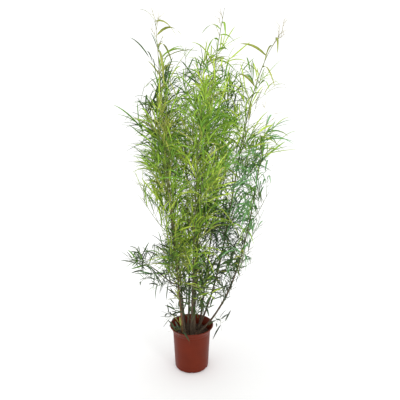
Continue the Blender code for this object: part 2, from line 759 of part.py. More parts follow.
def build():
    """The whole plant: pot, soil, stems, bough and masses."""
    for old in list(bpy.data.objects):
        bpy.data.objects.remove(old)
    make_pot()
    make_soil()
    limbs = []
    for name, stem in STEMS.items():
        path = stem_path(stem)
        make_limb(name + "_stem", path, stem_radii(stem), STEM_SIDES, UP)
        limbs.append((path, stem.radius))
    path, facing = bough_path()
    radii = np.linspace(BOUGH_RADIUS, SIDE_TWIG_RADIUS, len(path))
    make_limb("low_left_bough", path, radii, BOUGH_SIDES, facing)
    limbs.append((path, BOUGH_RADIUS))
    shoots = plan_shoots(limbs) + [bough_shoot(path)]
    crown = Crown(shoots, limbs, [])
    for shoot in shoots:
        make_mass(shoot, crown)


build()
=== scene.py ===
"""A shrub with long narrow leaves in a nursery pot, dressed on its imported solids.

Metres, +Z up. The plant's front faces -Y, and the origin is the centre of the pot's
flat underside.
"""
import math
from dataclasses import dataclass, replace

import bpy
import numpy as np
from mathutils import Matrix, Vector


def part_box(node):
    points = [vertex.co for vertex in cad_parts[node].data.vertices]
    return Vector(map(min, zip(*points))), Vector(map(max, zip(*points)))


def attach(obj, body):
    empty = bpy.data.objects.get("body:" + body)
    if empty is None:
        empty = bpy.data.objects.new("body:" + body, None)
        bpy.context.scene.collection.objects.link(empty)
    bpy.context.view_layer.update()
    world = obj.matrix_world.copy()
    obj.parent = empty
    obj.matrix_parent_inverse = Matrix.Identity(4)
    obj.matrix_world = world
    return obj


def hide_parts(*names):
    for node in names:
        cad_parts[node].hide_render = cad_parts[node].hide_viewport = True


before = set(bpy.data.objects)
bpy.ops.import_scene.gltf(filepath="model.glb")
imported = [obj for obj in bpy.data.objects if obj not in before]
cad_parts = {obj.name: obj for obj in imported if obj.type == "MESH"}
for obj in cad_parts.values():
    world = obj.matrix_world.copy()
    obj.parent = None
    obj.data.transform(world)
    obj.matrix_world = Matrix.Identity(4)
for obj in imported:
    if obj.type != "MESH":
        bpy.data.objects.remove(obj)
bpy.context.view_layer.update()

# --- The pot ------------------------------------------------------------------------
# A thin nursery pot moulded in terracotta-coloured plastic: a rolled lip over a flared
# collar, a step, a plain body that narrows downwards, and a round foot with drain
# notches pressed up into it. The mould leaves faint rings, and handling leaves scuffs.

POT_TURNS = 144
POT_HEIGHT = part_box("pot")[1].z
RIM_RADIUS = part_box("pot")[1].x
LIP = 0.0025
LIP_START = -70             # degrees, where the lip's round leaves the collar
COLLAR_FOOT = POT_HEIGHT - 0.034
STEP_EDGE = (0.0006, 0.0005)        # out of the body and up from the collar's foot, as the next two
STEP_TOP = (0.0020, 0.0030)
COLLAR_MIDDLE = (0.0060, 0.0160)
COLLAR_WALL = 0.0020
BODY_TOP_RADIUS = 0.094
BASE_RADIUS = 0.085
FOOT_ROUND = 0.010
WALL = 0.0026
FLOOR = 0.0030
DRAIN_COUNT = 6
DRAIN_HALF_ANGLE = math.radians(5.4)
DRAIN_HEIGHT = 0.0085
DRAIN_PRESS = 0.0022
MOULD_RING = 0.00018
MOULD_RING_PITCH = 0.0125
RINGED_ABOVE, RINGED_BEYOND = 0.020, 0.080      # the height and radius past which the wall has rings


def arc(centre, radius, start, end, count):
    """Profile points centre + radius (cos a, sin a), with a running from start to end."""
    angle = np.radians(np.linspace(start, end, count))
    return np.stack([centre[0] + radius * np.cos(angle), centre[1] + radius * np.sin(angle)], 1)


def run(first, last, count):
    """Evenly spaced profile points between two, without the two themselves."""
    return np.linspace(first, last, count + 2)[1:-1]


def turned(profile, turns):
    """The profile (r, z) carried round Z: x = r cos a, y = r sin a, on a grid [point, a]."""
    angle = 2 * math.pi * np.arange(turns) / turns
    radius, height = profile[:, :1], profile[:, 1:]
    return np.stack([radius * np.cos(angle), radius * np.sin(angle), height + 0 * angle], 2)


def shell(grid):
    """Vertices and faces of a grid [row, turn] that is closed round and ends in two poles.

    The first and last rows shrink to their middle points, and the faces run
    anticlockwise as seen from outside when the rows climb and the turns run from +X to +Y.
    """
    rows, turns = grid.shape[0] - 2, grid.shape[1]
    poles = grid[[0, -1]].mean(1)
    vertices = np.vstack([poles, grid[1:-1].reshape(-1, 3)])
    index = 2 + np.arange(rows * turns).reshape(rows, turns)
    after = np.roll(index, -1, 1)
    quads = np.stack([index[:-1], after[:-1], after[1:], index[1:]], 2).reshape(-1, 4)
    first = np.stack([after[0], index[0], 0 * index[0]], 1)
    last = np.stack([index[-1], after[-1], 0 * index[-1] + 1], 1)
    return vertices, quads.tolist() + first.tolist() + last.tolist()


def linear(*levels):
    """A colour given in 0 to 255 screen levels, as linear light with an alpha of 1."""
    share = np.array(levels) / 255
    light = np.where(share < 0.04045, share / 12.92, ((share + 0.055) / 1.055) ** 2.4)
    return (*light.tolist(), 1.0)


def new_material(name, roughness):
    """A Principled material with its own tree: (material, nodes, links, shader)."""
    material = bpy.data.materials.new(name)
    material.use_nodes = True
    nodes, links = material.node_tree.nodes, material.node_tree.links
    shader = nodes["Principled BSDF"]
    shader.inputs["Roughness"].default_value = roughness
    return material, nodes, links, shader


def place_on(nodes, links, stretch=(1, 1, 1)):
    """Object coordinates, stretched along each axis."""
    mapping = nodes.new("ShaderNodeMapping")
    mapping.inputs["Scale"].default_value = stretch
    links.new(nodes.new("ShaderNodeTexCoord").outputs["Object"], mapping.inputs["Vector"])
    return mapping.outputs["Vector"]


def noise(nodes, links, place, scale, detail=4.0):
    """Fractal noise from 0 to 1 at a place."""
    texture = nodes.new("ShaderNodeTexNoise")
    texture.inputs["Scale"].default_value = scale
    texture.inputs["Detail"].default_value = detail
    links.new(place, texture.inputs["Vector"])
    return texture.outputs["Fac"]


def ramp(nodes, links, factor, stops):
    """A colour ramp through (position, colour) stops."""
    node = nodes.new("ShaderNodeValToRGB")
    elements = node.color_ramp.elements
    for element, (position, colour) in zip(elements, (stops[0], stops[-1])):
        element.position = position
        element.color = colour
    for position, colour in stops[1:-1]:
        elements.new(position).color = colour
    links.new(factor, node.inputs["Fac"])
    return node.outputs["Color"]


def mix(nodes, links, factor, first, second, blend="MIX"):
    """Two colours mixed by a factor. Each is a socket, or a plain colour."""
    node = nodes.new("ShaderNodeMix")
    node.data_type = "RGBA"
    node.blend_type = blend
    for value, socket in ((factor, node.inputs[0]), (first, node.inputs[6]), (second, node.inputs[7])):
        if isinstance(value, bpy.types.NodeSocket):
            links.new(value, socket)
        else:
            socket.default_value = value
    return node.outputs[2]


def bump(nodes, links, shader, height, strength, distance):
    """Surface relief of a height from 0 to 1, distance metres deep."""
    node = nodes.new("ShaderNodeBump")
    node.inputs["Strength"].default_value = strength
    node.inputs["Distance"].default_value = distance
    links.new(height, node.inputs["Height"])
    links.new(node.outputs["Normal"], shader.inputs["Normal"])


def add_piece(name, shape, material, nodes_replaced, sharp=50):
    """A smooth-shaded mesh piece that rides on the root and stands for CAD nodes."""
    mesh = bpy.data.meshes.new(name)
    mesh.from_pydata(shape[0].tolist(), [], shape[1])
    mesh.materials.append(material)
    mesh.shade_smooth()
    mesh.set_sharp_from_angle(angle=math.radians(sharp))
    piece = bpy.data.objects.new(name, mesh)
    bpy.context.scene.collection.objects.link(piece)
    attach(piece, "root")
    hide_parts(*nodes_replaced)


def pot_profile():
    """The pot's outline (r, z) from the middle of its underside, round the lip, to the floor."""
    foot = BASE_RADIUS - FOOT_ROUND
    body_foot, body_top = (BASE_RADIUS, FOOT_ROUND), (BODY_TOP_RADIUS, COLLAR_FOOT)
    edge, collar, middle = [(BODY_TOP_RADIUS + out, COLLAR_FOOT + up)
                            for out, up in (STEP_EDGE, STEP_TOP, COLLAR_MIDDLE)]
    inner_middle = (middle[0] - COLLAR_WALL, middle[1])
    inner_top = (BODY_TOP_RADIUS - WALL, COLLAR_FOOT)
    corner = FOOT_ROUND - WALL
    inner_foot = (foot + corner, FLOOR + corner)
    lip = arc((RIM_RADIUS - LIP, POT_HEIGHT - LIP), LIP, LIP_START, 180, 14)
    return np.vstack([
        [(0.0, 0.0)], run((0.0, 0.0), (foot, 0.0), 4),
        arc((foot, FOOT_ROUND), FOOT_ROUND, -90, 0, 9), run(body_foot, body_top, 60),
        [body_top, edge, collar], run(collar, middle, 6), [middle], run(middle, lip[0], 5), lip,
        run(lip[-1], inner_middle, 5), [inner_middle], run(inner_middle, inner_top, 4),
        run(inner_top, inner_foot, 20), arc((foot, FLOOR + corner), corner, 0, -90, 6),
        run((foot, FLOOR), (0.0, FLOOR), 3), [(0.0, FLOOR)]])


def pot_surface():
    """The turned outline, less a press that fades up each notch, plus the mould's rings.

    A notch takes DRAIN_PRESS off the radius times a bell over its angle times a fade
    with height. A mould ring adds MOULD_RING times a sine of the height.
    """
    grid = turned(pot_profile(), POT_TURNS)
    radius = np.hypot(grid[..., 0], grid[..., 1])
    angle = np.arctan2(grid[..., 1], grid[..., 0])
    pitch = 2 * math.pi / DRAIN_COUNT
    from_notch = np.abs((angle / pitch) % 1 - 0.5) * pitch
    across = np.clip(1 - (from_notch / DRAIN_HALF_ANGLE) ** 4, 0, 1)
    upward = np.clip(1 - (grid[..., 2] / DRAIN_HEIGHT) ** 4, 0, 1)
    at_foot = radius > BASE_RADIUS - FOOT_ROUND
    rings = MOULD_RING * np.sin(2 * math.pi * grid[..., 2] / MOULD_RING_PITCH)
    on_wall = (radius > RINGED_BEYOND) & (grid[..., 2] > RINGED_ABOVE) & (grid[..., 2] < COLLAR_FOOT)
    change = rings * on_wall - DRAIN_PRESS * across * upward * at_foot
    scale = 1 + np.divide(change, radius, out=np.zeros_like(radius), where=radius > 0)
    grid[..., :2] *= scale[..., None]
    return grid


def pot_material():
    """Terracotta plastic: brown-red, duller and dustier in patches, scuffed up and down."""
    material, nodes, links, shader = new_material("terracotta_plastic", 0.42)
    shader.inputs["Specular IOR Level"].default_value = 0.14
    place = place_on(nodes, links)
    clouds = noise(nodes, links, place, 14.0)
    body = ramp(nodes, links, clouds, [(0.30, linear(97, 31, 12)), (0.70, linear(107, 36, 15))])
    scuffs = noise(nodes, links, place_on(nodes, links, (1, 1, 0.18)), 110.0, 6.0)
    dusty = ramp(nodes, links, scuffs, [(0.60, (0, 0, 0, 1)), (0.78, (0.35, 0.35, 0.35, 1))])
    links.new(mix(nodes, links, dusty, body, linear(122, 66, 48)), shader.inputs["Base Color"])
    gloss = ramp(nodes, links, clouds, [(0.3, (0.36, 0.36, 0.36, 1)), (0.7, (0.5, 0.5, 0.5, 1))])
    links.new(gloss, shader.inputs["Roughness"])
    bump(nodes, links, shader, noise(nodes, links, place, 420.0, 2.0), 0.25, 0.0003)
    return material


add_piece("nursery_pot", shell(pot_surface()), pot_material(), ["pot"], 38)

# --- The soil -----------------------------------------------------------------------
# Peaty potting mix, filled to a low mound well under the rim. Its top is lumpy, and
# chips of bark, grit and crumbs of peat lie loose on it.

SOIL_TURNS = 96
SOIL_ROWS = 40
SOIL_BOTTOM = 0.150
SOIL_EDGE = 0.189
SOIL_MOUND = 0.196
MOUND_RADIUS = 0.068
SOIL_SIDE_GAP = 0.0004
WALL_SLOPE = (BODY_TOP_RADIUS - BASE_RADIUS) / (COLLAR_FOOT - FOOT_ROUND)
SOIL_RADIUS = BODY_TOP_RADIUS - WALL - (COLLAR_FOOT - SOIL_EDGE) * WALL_SLOPE - SOIL_SIDE_GAP
LUMPS = (0.0016, 0.035, 3), (0.0009, 0.009, 4)      # height, size and seed of each kind
CRUMBS = 1500
CRUMB_SPREAD = 0.93         # the share of the soil's area, from its middle, that they lie on
CRUMB_SIZES = 0.0007, 0.0030        # the least, and how much more the biggest has
CRUMB_CORNERS = 0.5, 1.3
CRUMB_STRETCH = 1.0, 2.6
CRUMB_FLATNESS = 0.6
CRUMB_LIFT = 0.2
dice = np.random.default_rng(43)    # deals out everything that grows or lies at random


def lumps(x, y, size, seed):
    """Smooth random relief from -1 to 1: a third of nine sine waves in random directions."""
    waves = np.random.default_rng(seed)
    total = 0 * x
    for turn, phase, stretch in waves.uniform((0, 0, 0.7), (math.pi, 2 * math.pi, 1.5), (9, 3)):
        step = (x * math.cos(turn) + y * math.sin(turn)) / (size * stretch)
        total += np.sin(2 * math.pi * step + phase) / 3
    return np.clip(total, -1, 1)


def soil_height(x, y):
    """The mound: flat under the stems, sloping to the wall, with two sizes of lumps."""
    slope = np.clip((np.hypot(x, y) - MOUND_RADIUS) / (SOIL_RADIUS - MOUND_RADIUS), 0, 1)
    level = SOIL_MOUND + slope * (SOIL_EDGE - SOIL_MOUND)
    for height, size, seed in LUMPS:
        level = level + height * lumps(x, y, size, seed)
    return level


def soil_surface():
    """A plug in the pot: side wall from SOIL_BOTTOM, then rings inwards over the mound."""
    bottom_radius = SOIL_RADIUS - (SOIL_EDGE - SOIL_BOTTOM) * WALL_SLOPE
    rings = np.linspace(SOIL_RADIUS, 0.0, SOIL_ROWS)
    profile = np.vstack([[(0.0, SOIL_BOTTOM), (bottom_radius, SOIL_BOTTOM)],
                         np.stack([rings, 0 * rings], 1)])
    grid = turned(profile, SOIL_TURNS)
    top = grid[2:]
    top[..., 2] = soil_height(top[..., 0], top[..., 1])
    return grid


def scatter_crumbs(count):
    """Stretched octahedra, turned at random and half sunk, evenly spread and mostly small."""
    radius = SOIL_RADIUS * np.sqrt(dice.uniform(0.0, CRUMB_SPREAD, count))
    angle = dice.uniform(0, 2 * math.pi, count)
    x, y = radius * np.cos(angle), radius * np.sin(angle)
    size = CRUMB_SIZES[0] + CRUMB_SIZES[1] * dice.random(count) ** 3
    corners = np.array([(1, 0, 0), (0, 1, 0), (-1, 0, 0), (0, -1, 0), (0, 0, 1), (0, 0, -1)], float)
    shapes = corners * dice.uniform(*CRUMB_CORNERS, (count, 6, 1)) * size[:, None, None]
    shapes[..., 0] *= dice.uniform(*CRUMB_STRETCH, (count, 1))
    shapes[..., 2] *= CRUMB_FLATNESS
    turn = dice.uniform(0, 2 * math.pi, (count, 1))
    along, across = shapes[..., 0], shapes[..., 1]
    flat = np.stack([along * np.cos(turn) - across * np.sin(turn),
                     along * np.sin(turn) + across * np.cos(turn), shapes[..., 2]], 2)
    flat += np.stack([x, y, soil_height(x, y) + CRUMB_LIFT * size], 1)[:, None, :]
    sides = [(0, 1, 4), (1, 2, 4), (2, 3, 4), (3, 0, 4), (1, 0, 5), (2, 1, 5), (3, 2, 5), (0, 3, 5)]
    faces = np.array(sides)[None] + 6 * np.arange(count)[:, None, None]
    return flat.reshape(-1, 3), faces.reshape(-1, 3).tolist()


def soil_material():
    """Dark damp peat flecked with paler bark and grit."""
    material, nodes, links, shader = new_material("peat", 0.95)
    place = place_on(nodes, links)
    grain = noise(nodes, links, place, 190.0, 6.0)
    earth = ramp(nodes, links, grain, [(0.36, linear(40, 28, 21)), (0.52, linear(74, 53, 41)),
                                       (0.68, linear(104, 79, 62))])
    damp = ramp(nodes, links, noise(nodes, links, place, 28.0),
                [(0.40, (0.55, 0.55, 0.55, 1)), (0.62, (1, 1, 1, 1))])
    links.new(mix(nodes, links, 1.0, earth, damp, "MULTIPLY"), shader.inputs["Base Color"])
    bump(nodes, links, shader, grain, 0.7, 0.0015)
    return material


def crumb_material():
    """Bark chips and crumbs, from near black to orange-brown."""
    material, nodes, links, shader = new_material("bark_chips", 0.9)
    kinds = noise(nodes, links, place_on(nodes, links), 95.0, 2.0)
    chips = ramp(nodes, links, kinds, [(0.38, linear(44, 30, 23)), (0.50, linear(92, 62, 42)),
                                       (0.60, linear(120, 88, 62)), (0.68, linear(66, 48, 38))])
    links.new(chips, shader.inputs["Base Color"])
    return material


add_piece("potting_soil", shell(soil_surface()), soil_material(), ["soil"])
add_piece("soil_crumbs", scatter_crumbs(CRUMBS), crumb_material(), [], 10)

# --- The stems and the low bough ----------------------------------------------------
# Ten slender woody stems from one clump, brown and lightly ridged below, smooth and
# green-brown above. Each swells a little where its shoots leave it, flares at the soil,
# and narrows to a wiry tip. One bough leaves the left stem low down.

GAP = 0.0003
UP = np.array((0.0, 0.0, 1.0))
STEM_RINGS = 13
STEM_SHARE = 0.74           # the share of a stem that its rings are on, below its head
STEM_TAPER = 0.50
STEM_TIP_SHARE = 0.14
FLARE = 1.8
FLARE_FADE = 2.6
BARK_STEPS = 168
BARK_SIDES = 18
BARK_SHARP = 60
BARK_RIDGE = 0.055
JOINT_SWELL = 0.16
JOINT_LENGTH = 0.007
JOINT_SHARES = np.arange(0.12, 0.98, 0.045)


@dataclass
class Stem:
    """A cubic Bezier centre line from the foot to the tip, and what grows on it."""
    foot: tuple
    low: tuple
    high: tuple
    tip: tuple
    radius: float
    bearing: float
    shoots: int
    lowest_ring: int
    shoot_length: float
    leaf_length: float
    droop: float        # how far its leaves bow down, for their length
    tints: tuple        # shares of its sprays in each of TINTS, partly painted light and shade
    low_heights: tuple = (0.50, 1.05)   # its sprays turn from LOW_TINTS to its own between these
    bare_to: float = 0.05       # the share of it, from its foot, that has no short shoots
    bare_from: float = 0.90     # and the share from which it has none again
    shade_to: float = 0.0       # up to this height its sprays take SHADE_TINTS for its own


TINTS = ("lime", "olive", "bright", "mid", "dark", "grey", "blue_green")
SHADE_TINTS = (0, 3, 5, 12, 10, 0, 70)      # for the leaves in the shade on the right
# The tints are partly the leaves' own colours and partly painted light and shade. The front, middle and
# right stems carry more lime and bright sprays, painted light on the lit side. The back stems carry
# mostly mid and dark sprays, painted shade inside the crown.
STEMS = {
    "left": Stem(
        (-0.045, -0.015), (-0.080, -0.025, 0.730), (-0.120, -0.040, 1.220), (-0.145, -0.060, 1.705),
        0.0050, 185, 4, 4, 0.24, 0.20, 0.50, (10, 14, 24, 36, 16, 0, 0), bare_to=0.13),
    "mid_left": Stem(
        (-0.020, 0.010), (0.010, 0.030, 0.600), (-0.045, 0.065, 1.100), (-0.020, 0.080, 1.560),
        0.0046, 110, 3, 3, 0.20, 0.16, 0.45, (14, 8, 28, 38, 12, 0, 0), bare_to=0.13, bare_from=0.72),
    "centre": Stem(
        (0.010, -0.010), (0.030, 0.010, 0.735), (0.055, 0.035, 1.255), (0.150, 0.050, 1.755),
        0.0062, 330, 4, 2, 0.22, 0.16, 0.50, (42, 6, 32, 17, 3, 0, 0), bare_from=0.865),
    "right": Stem(
        (0.030, 0.015), (0.235, 0.040, 0.640), (0.185, 0.075, 1.380), (0.415, 0.095, 1.660),
        0.0046, 20, 3, 5, 0.21, 0.18, 0.65, (52, 12, 26, 8, 2, 0, 0), bare_from=0.79, shade_to=1.12),
    "arching": Stem(
        (0.035, -0.020), (0.285, -0.005, 0.430), (0.295, -0.025, 0.985), (0.345, -0.045, 1.305),
        0.0048, 345, 4, 3, 0.20, 0.16, 0.90, SHADE_TINTS, low_heights=(0.48, 0.84), bare_to=0.19),
    "front": Stem(
        (-0.005, -0.035), (0.020, -0.110, 0.600), (0.010, -0.170, 1.050), (0.060, -0.190, 1.440),
        0.0046, 265, 3, 3, 0.21, 0.145, 0.50, (30, 12, 36, 20, 2, 0, 0), low_heights=(0.48, 0.66)),
    "front_left": Stem(
        (-0.030, -0.045), (-0.070, -0.090, 0.550), (-0.100, -0.140, 0.950), (-0.120, -0.180, 1.340),
        0.0044, 225, 2, 5, 0.21, 0.150, 0.50, (26, 24, 26, 20, 4, 0, 0), low_heights=(0.38, 0.60),
        bare_to=0.14),
    "back": Stem(
        (0.005, 0.040), (0.020, 0.110, 0.650), (0.050, 0.190, 1.050), (0.060, 0.240, 1.520),
        0.0048, 85, 3, 4, 0.22, 0.16, 0.50, (2, 4, 16, 36, 42, 0, 0)),
    "back_left": Stem(
        (-0.035, 0.035), (-0.070, 0.090, 0.600), (-0.110, 0.140, 1.000), (-0.130, 0.180, 1.440),
        0.0046, 135, 2, 4, 0.21, 0.16, 0.55, (2, 6, 16, 38, 38, 0, 0)),
    "back_right": Stem(
        (0.040, 0.045), (0.090, 0.090, 0.600), (0.140, 0.150, 1.000), (0.190, 0.200, 1.460),
        0.0046, 45, 3, 3, 0.21, 0.16, 0.60, (0, 4, 10, 28, 38, 0, 20), shade_to=1.05),
}
BOUGH_STEM, BOUGH_RING, BOUGH_BEARING = "left", 3, 192
BOUGH_LENGTH, BOUGH_RISE, BOUGH_SAG = 0.17, 42, 0.05
BOUGH_RADIUS, BOUGH_TIP_RADIUS = 0.0036, 0.0024
BOUGH_STEPS = 40
BOUGH_JOINTS = [0.05, 0.10]
BOUGH_SEED = 20
SHOOT_POINTS = 5
SHOOT_OUT = 0.22
SHOOT_BEND = 0.62
GREENS_FROM, GREENS_TO = 0.45, 1.25         # the heights between which the bark turns green
BROWN_BARK = (84, 69, 51), (112, 122, 68)   # the old wood's and the young wood's colours
RED_BARK = (142, 98, 66), (124, 122, 70)


def unit(vectors):
    """Vectors at length 1, along the last axis."""
    return vectors / np.linalg.norm(vectors, axis=-1, keepdims=True)


def between(pair, share):
    """The value at a share of the way from a pair's first to its second."""
    return pair[0] + share * (pair[1] - pair[0])


def heading(bearing):
    """The level direction at a bearing in degrees, counted from +X towards +Y."""
    return np.array((math.cos(math.radians(bearing)), math.sin(math.radians(bearing)), 0.0))


def bezier(handles, steps):
    """(1-t)^3 a + 3 (1-t)^2 t b + 3 (1-t) t^2 c + t^3 d, for each step t."""
    t = np.asarray(steps)[:, None]
    a, b, c, d = (np.asarray(handle, dtype=float) for handle in handles)
    return (1 - t)**3 * a + 3 * (1 - t)**2 * t * b + 3 * (1 - t) * t**2 * c + t**3 * d


def stem_handles(stem):
    """The stem's four handles, its foot standing just clear of the soil."""
    return (*stem.foot, SOIL_MOUND + GAP), stem.low, stem.high, stem.tip


def stem_path(stem):
    """The ring centres of the lower stem, which its shoots are counted on."""
    return bezier(stem_handles(stem), np.linspace(0.0, STEM_SHARE, STEM_RINGS + 1))


def stem_radii(stem):
    """The radius at each ring: an even taper, plus a flare that dies away by ring 2."""
    ring = np.arange(STEM_RINGS + 1)
    taper = between((1.0, STEM_TAPER), ring / STEM_RINGS)
    return stem.radius * (taper + (FLARE - 1.0) * np.exp(-FLARE_FADE * ring))


def side_path(start, facing, bearing, length, rise, sag):
    """A shoot's path: straight out of its stem, then bent up to its own rise."""
    aim = math.cos(math.radians(rise)) * heading(bearing) + math.sin(math.radians(rise)) * UP
    end = start + length * aim - sag * length * UP
    handles = (start, start + SHOOT_OUT * length * facing, start + SHOOT_BEND * length * aim, end)
    return bezier(handles, np.linspace(0.0, 1.0, SHOOT_POINTS))


def off_stem(path, radii, ring, bearing):
    """Where a shoot leaves a stem at one ring, and the way it faces there."""
    along = unit(path[ring + 1] - path[ring - 1])
    out = heading(bearing)
    facing = unit(out - along * out.dot(along))
    return path[ring] + facing * (radii[ring] + GAP), facing


def tubes(paths, radii, sides, relief=None):
    """Round tubes [tube, ring, side] about paths [tube, ring, xyz], all worked out at once.

    A vertex is centre + radius (cos a u + sin a v), where u and v are square to the path.
    They come from the axis that lies most across the whole path, so they never flip.
    """
    along = unit(np.gradient(paths, axis=1))
    least = np.abs(unit(paths[:, -1] - paths[:, 0])).argmin(1)
    u = unit(np.cross(along, np.eye(3)[least][:, None, :]))
    v = np.cross(along, u)
    angle = 2 * math.pi * np.arange(sides) / sides
    ring = u[:, :, None] * np.cos(angle)[:, None] + v[:, :, None] * np.sin(angle)[:, None]
    reach = radii[:, :, None] * (1 if relief is None else relief)
    return paths[:, :, None] + np.broadcast_to(reach, ring.shape[:3])[..., None] * ring


def capped(grid):
    """A tube's grid with its first and last rows doubled, so that shell closes them flat."""
    return np.concatenate([grid[:1], grid, grid[-1:]])


def bark_relief(steps, length, joints, seed):
    """Shares of the radius: wandering lengthwise ridges, and a swelling at each joint.

    The ridges are sines of 5 and 8 turns round the stem whose phase drifts up it. They
    fade out with the bark towards the tip. A swelling is a bell JOINT_LENGTH long.
    """
    phase = np.random.default_rng(seed).uniform(0, 2 * math.pi, 4)
    angle = 2 * math.pi * np.arange(BARK_SIDES) / BARK_SIDES
    up = (steps * length)[:, None]
    drift = 1.6 * np.sin(9 * up + phase[0]) + 0.8 * np.sin(31 * up + phase[1])
    ridges = np.sin(5 * angle + drift + phase[2]) + 0.6 * np.sin(8 * angle - 2 * drift + phase[3])
    old = np.clip(1.15 - steps, 0, 1)[:, None]
    swell = sum(np.exp(-((up - joint) / JOINT_LENGTH) ** 2) for joint in joints)
    return 1 + BARK_RIDGE * old * ridges + JOINT_SWELL * swell


def bark_material(name, low, high, seed):
    """Thin bark: streaked along the stem, pale-dotted, and greener on young wood above."""
    material, nodes, links, shader = new_material(name, 0.78)
    streaks = noise(nodes, links, place_on(nodes, links, (1, 1, 0.10)), 260.0 + seed, 5.0)
    low, high = np.array(low), np.array(high)
    old = ramp(nodes, links, streaks, [(0.34, linear(*(0.62 * low))), (0.55, linear(*low)),
                                       (0.74, linear(*(1.28 * low)))])
    young = ramp(nodes, links, streaks, [(0.34, linear(*(0.78 * high))), (0.70, linear(*high))])
    height = nodes.new("ShaderNodeSeparateXYZ")
    links.new(place_on(nodes, links), height.inputs["Vector"])
    age = nodes.new("ShaderNodeMapRange")
    age.inputs["From Min"].default_value = GREENS_FROM
    age.inputs["From Max"].default_value = GREENS_TO
    links.new(height.outputs["Z"], age.inputs["Value"])
    wood = mix(nodes, links, age.outputs["Result"], old, young)
    dots = nodes.new("ShaderNodeTexVoronoi")
    dots.inputs["Scale"].default_value = 170.0
    links.new(place_on(nodes, links, (1, 1, 0.5)), dots.inputs["Vector"])
    pale = ramp(nodes, links, dots.outputs["Distance"], [(0.10, (0.5, 0.5, 0.5, 1)),
                                                         (0.20, (0, 0, 0, 1))])
    links.new(mix(nodes, links, pale, wood, linear(158, 142, 116)), shader.inputs["Base Color"])
    bump(nodes, links, shader, streaks, 0.55, 0.0006)
    return material


bough_root, bough_facing = off_stem(stem_path(STEMS[BOUGH_STEM]), stem_radii(STEMS[BOUGH_STEM]),
                                    BOUGH_RING, BOUGH_BEARING)
bough_path = side_path(bough_root, bough_facing, BOUGH_BEARING, BOUGH_LENGTH, BOUGH_RISE, BOUGH_SAG)
brown_bark = bark_material("brown_bark", *BROWN_BARK, 0)
red_bark = bark_material("red_brown_bark", *RED_BARK, 17)

for order, (name, stem) in enumerate(STEMS.items()):
    steps = np.linspace(0.0, 1.0, BARK_STEPS)
    path = bezier(stem_handles(stem), steps)
    length = np.linalg.norm(np.diff(path, axis=0), axis=1).sum()
    rings = steps / STEM_SHARE * STEM_RINGS
    lower = np.interp(rings, range(STEM_RINGS + 1), stem_radii(stem))
    upper = stem.radius * np.interp(steps, (STEM_SHARE, 1.0), (STEM_TAPER, STEM_TIP_SHARE))
    radii = np.where(steps < STEM_SHARE, lower, upper)
    relief = bark_relief(steps, length, length * JOINT_SHARES, order)
    surface = tubes(path[None], radii[None], BARK_SIDES, relief[None])[0]
    bark = red_bark if name == "left" else brown_bark
    add_piece(name + "_stem_bark", shell(capped(surface)), bark, [name + "_stem"], BARK_SHARP)

bough_steps = np.linspace(0.0, 1.0, BOUGH_STEPS)
bough_line = np.array([np.interp(bough_steps * (SHOOT_POINTS - 1), range(SHOOT_POINTS), axis)
                       for axis in bough_path.T]).T
bough_radii = between((BOUGH_RADIUS, BOUGH_TIP_RADIUS), bough_steps)
bough_relief = bark_relief(bough_steps, BOUGH_LENGTH, BOUGH_JOINTS, BOUGH_SEED)
bough_surface = tubes(bough_line[None], bough_radii[None], BARK_SIDES, bough_relief[None])[0]
add_piece("low_left_bough_bark", shell(capped(bough_surface)), brown_bark, ["low_left_bough"],
          BARK_SHARP)

# --- The twigs ----------------------------------------------------------------------
# Thin green-brown shoots. Main twigs leave the stems, side twigs leave those, and finer
# ones leave these, each bent upwards and a little bowed by its leaves. They are placed
# by the same rule as the masses that they dress.

ASIDE = np.array((0.17, 0.11, 0.0))         # tips UP over a little, so that no twig lies along it
HEAD_POINTS = 6
HEAD_RADIUS = 0.0016
SHOOT_RADIUS = 0.0019
# From a stem's lowest shoot to its highest: swing off its bearing, rise, and shares of length.
SHOOT_SWING = (60, 46)
SHOOT_RISE = (62, 52)
SHOOT_GROWTH = (0.90, 1.15)
LEAF_GROWTH = (0.80, 1.00)
SHOOT_SAG = 0.04
SHOOT_SPACING = 0.034
TURN_TRIES = 13
TURN_STEP = 12
ROOM_GAIN = 0.004
ROOT_RUNS = 0.5
ROOM_SAMPLES = 4
SIDE_TWIG_AIM = (0.55, 0.62, 0.35)          # how far it points along its parent, out of it, and up
SIDE_TWIG_SAG = 0.10
SIDE_TWIG_PLACES = (0.08, 0.92)
SIDE_TWIG_FADE = (1.15, 0.55)       # its length at its parent's foot, and what it loses by the tip
SIDE_TWIG_LENGTHS = (0.75, 1.25)
SIDE_TWIG_RADIUS, SIDE_TWIG_LEAF = 0.60, 0.92       # shares of the main twig's, as for fine twigs
FINE_TWIG_PLACES = (0.25, 0.75)
FINE_TWIG_LENGTH = 0.55
FINE_TWIG_RADIUS, FINE_TWIG_LEAF = 0.40, 0.80
BOUGH_TWIG_LENGTH = 0.12
BOUGH_TWIG_SAG = 0.04
BOUGH_TWIG_RADIUS = 0.0018
BOUGH_LEAF = 0.12
BOUGH_SHOOT_SHARES = (0.28, 0.40, 0.52, 0.64, 0.76, 0.88, 0.97)
BOUGH_SHOOT_ANGLES = (30, 150)
BOUGH_SHOOT_LENGTHS = (0.08, 0.13)
BOUGH_SHOOT_LIFT = -0.3
RIM_SPRAYS = (          # the stem and its ring, bearing, length and rise
    ("left", 1, 200, 0.085, 12),
    ("arching", 2, 330, 0.050, -20),
    ("front_left", 1, 235, 0.085, 8),
)
RIM_SPRAY_SAG = 0.10
RIM_SPRAY_RADIUS = 0.0010
RIM_SPRAY_LEAF = 0.082
SHORT_SHOOT_STEPS = np.concatenate([np.arange(0.05, 0.40, 0.020), np.arange(0.40, 0.90, 0.017)])
SHORT_SHOOT_RADIUS = 0.0012
SHORT_SHOOT_LENGTHS = (0.065, 0.125)
LONG_SHOOT_STEMS, LONG_SHOOT_LENGTHS = ("centre", "right", "front"), (0.085, 0.175)
SHORT_SHOOT_FADE = (0.68, 1.0), (1.0, 0.4)  # they shorten from this share of the stem to its tip
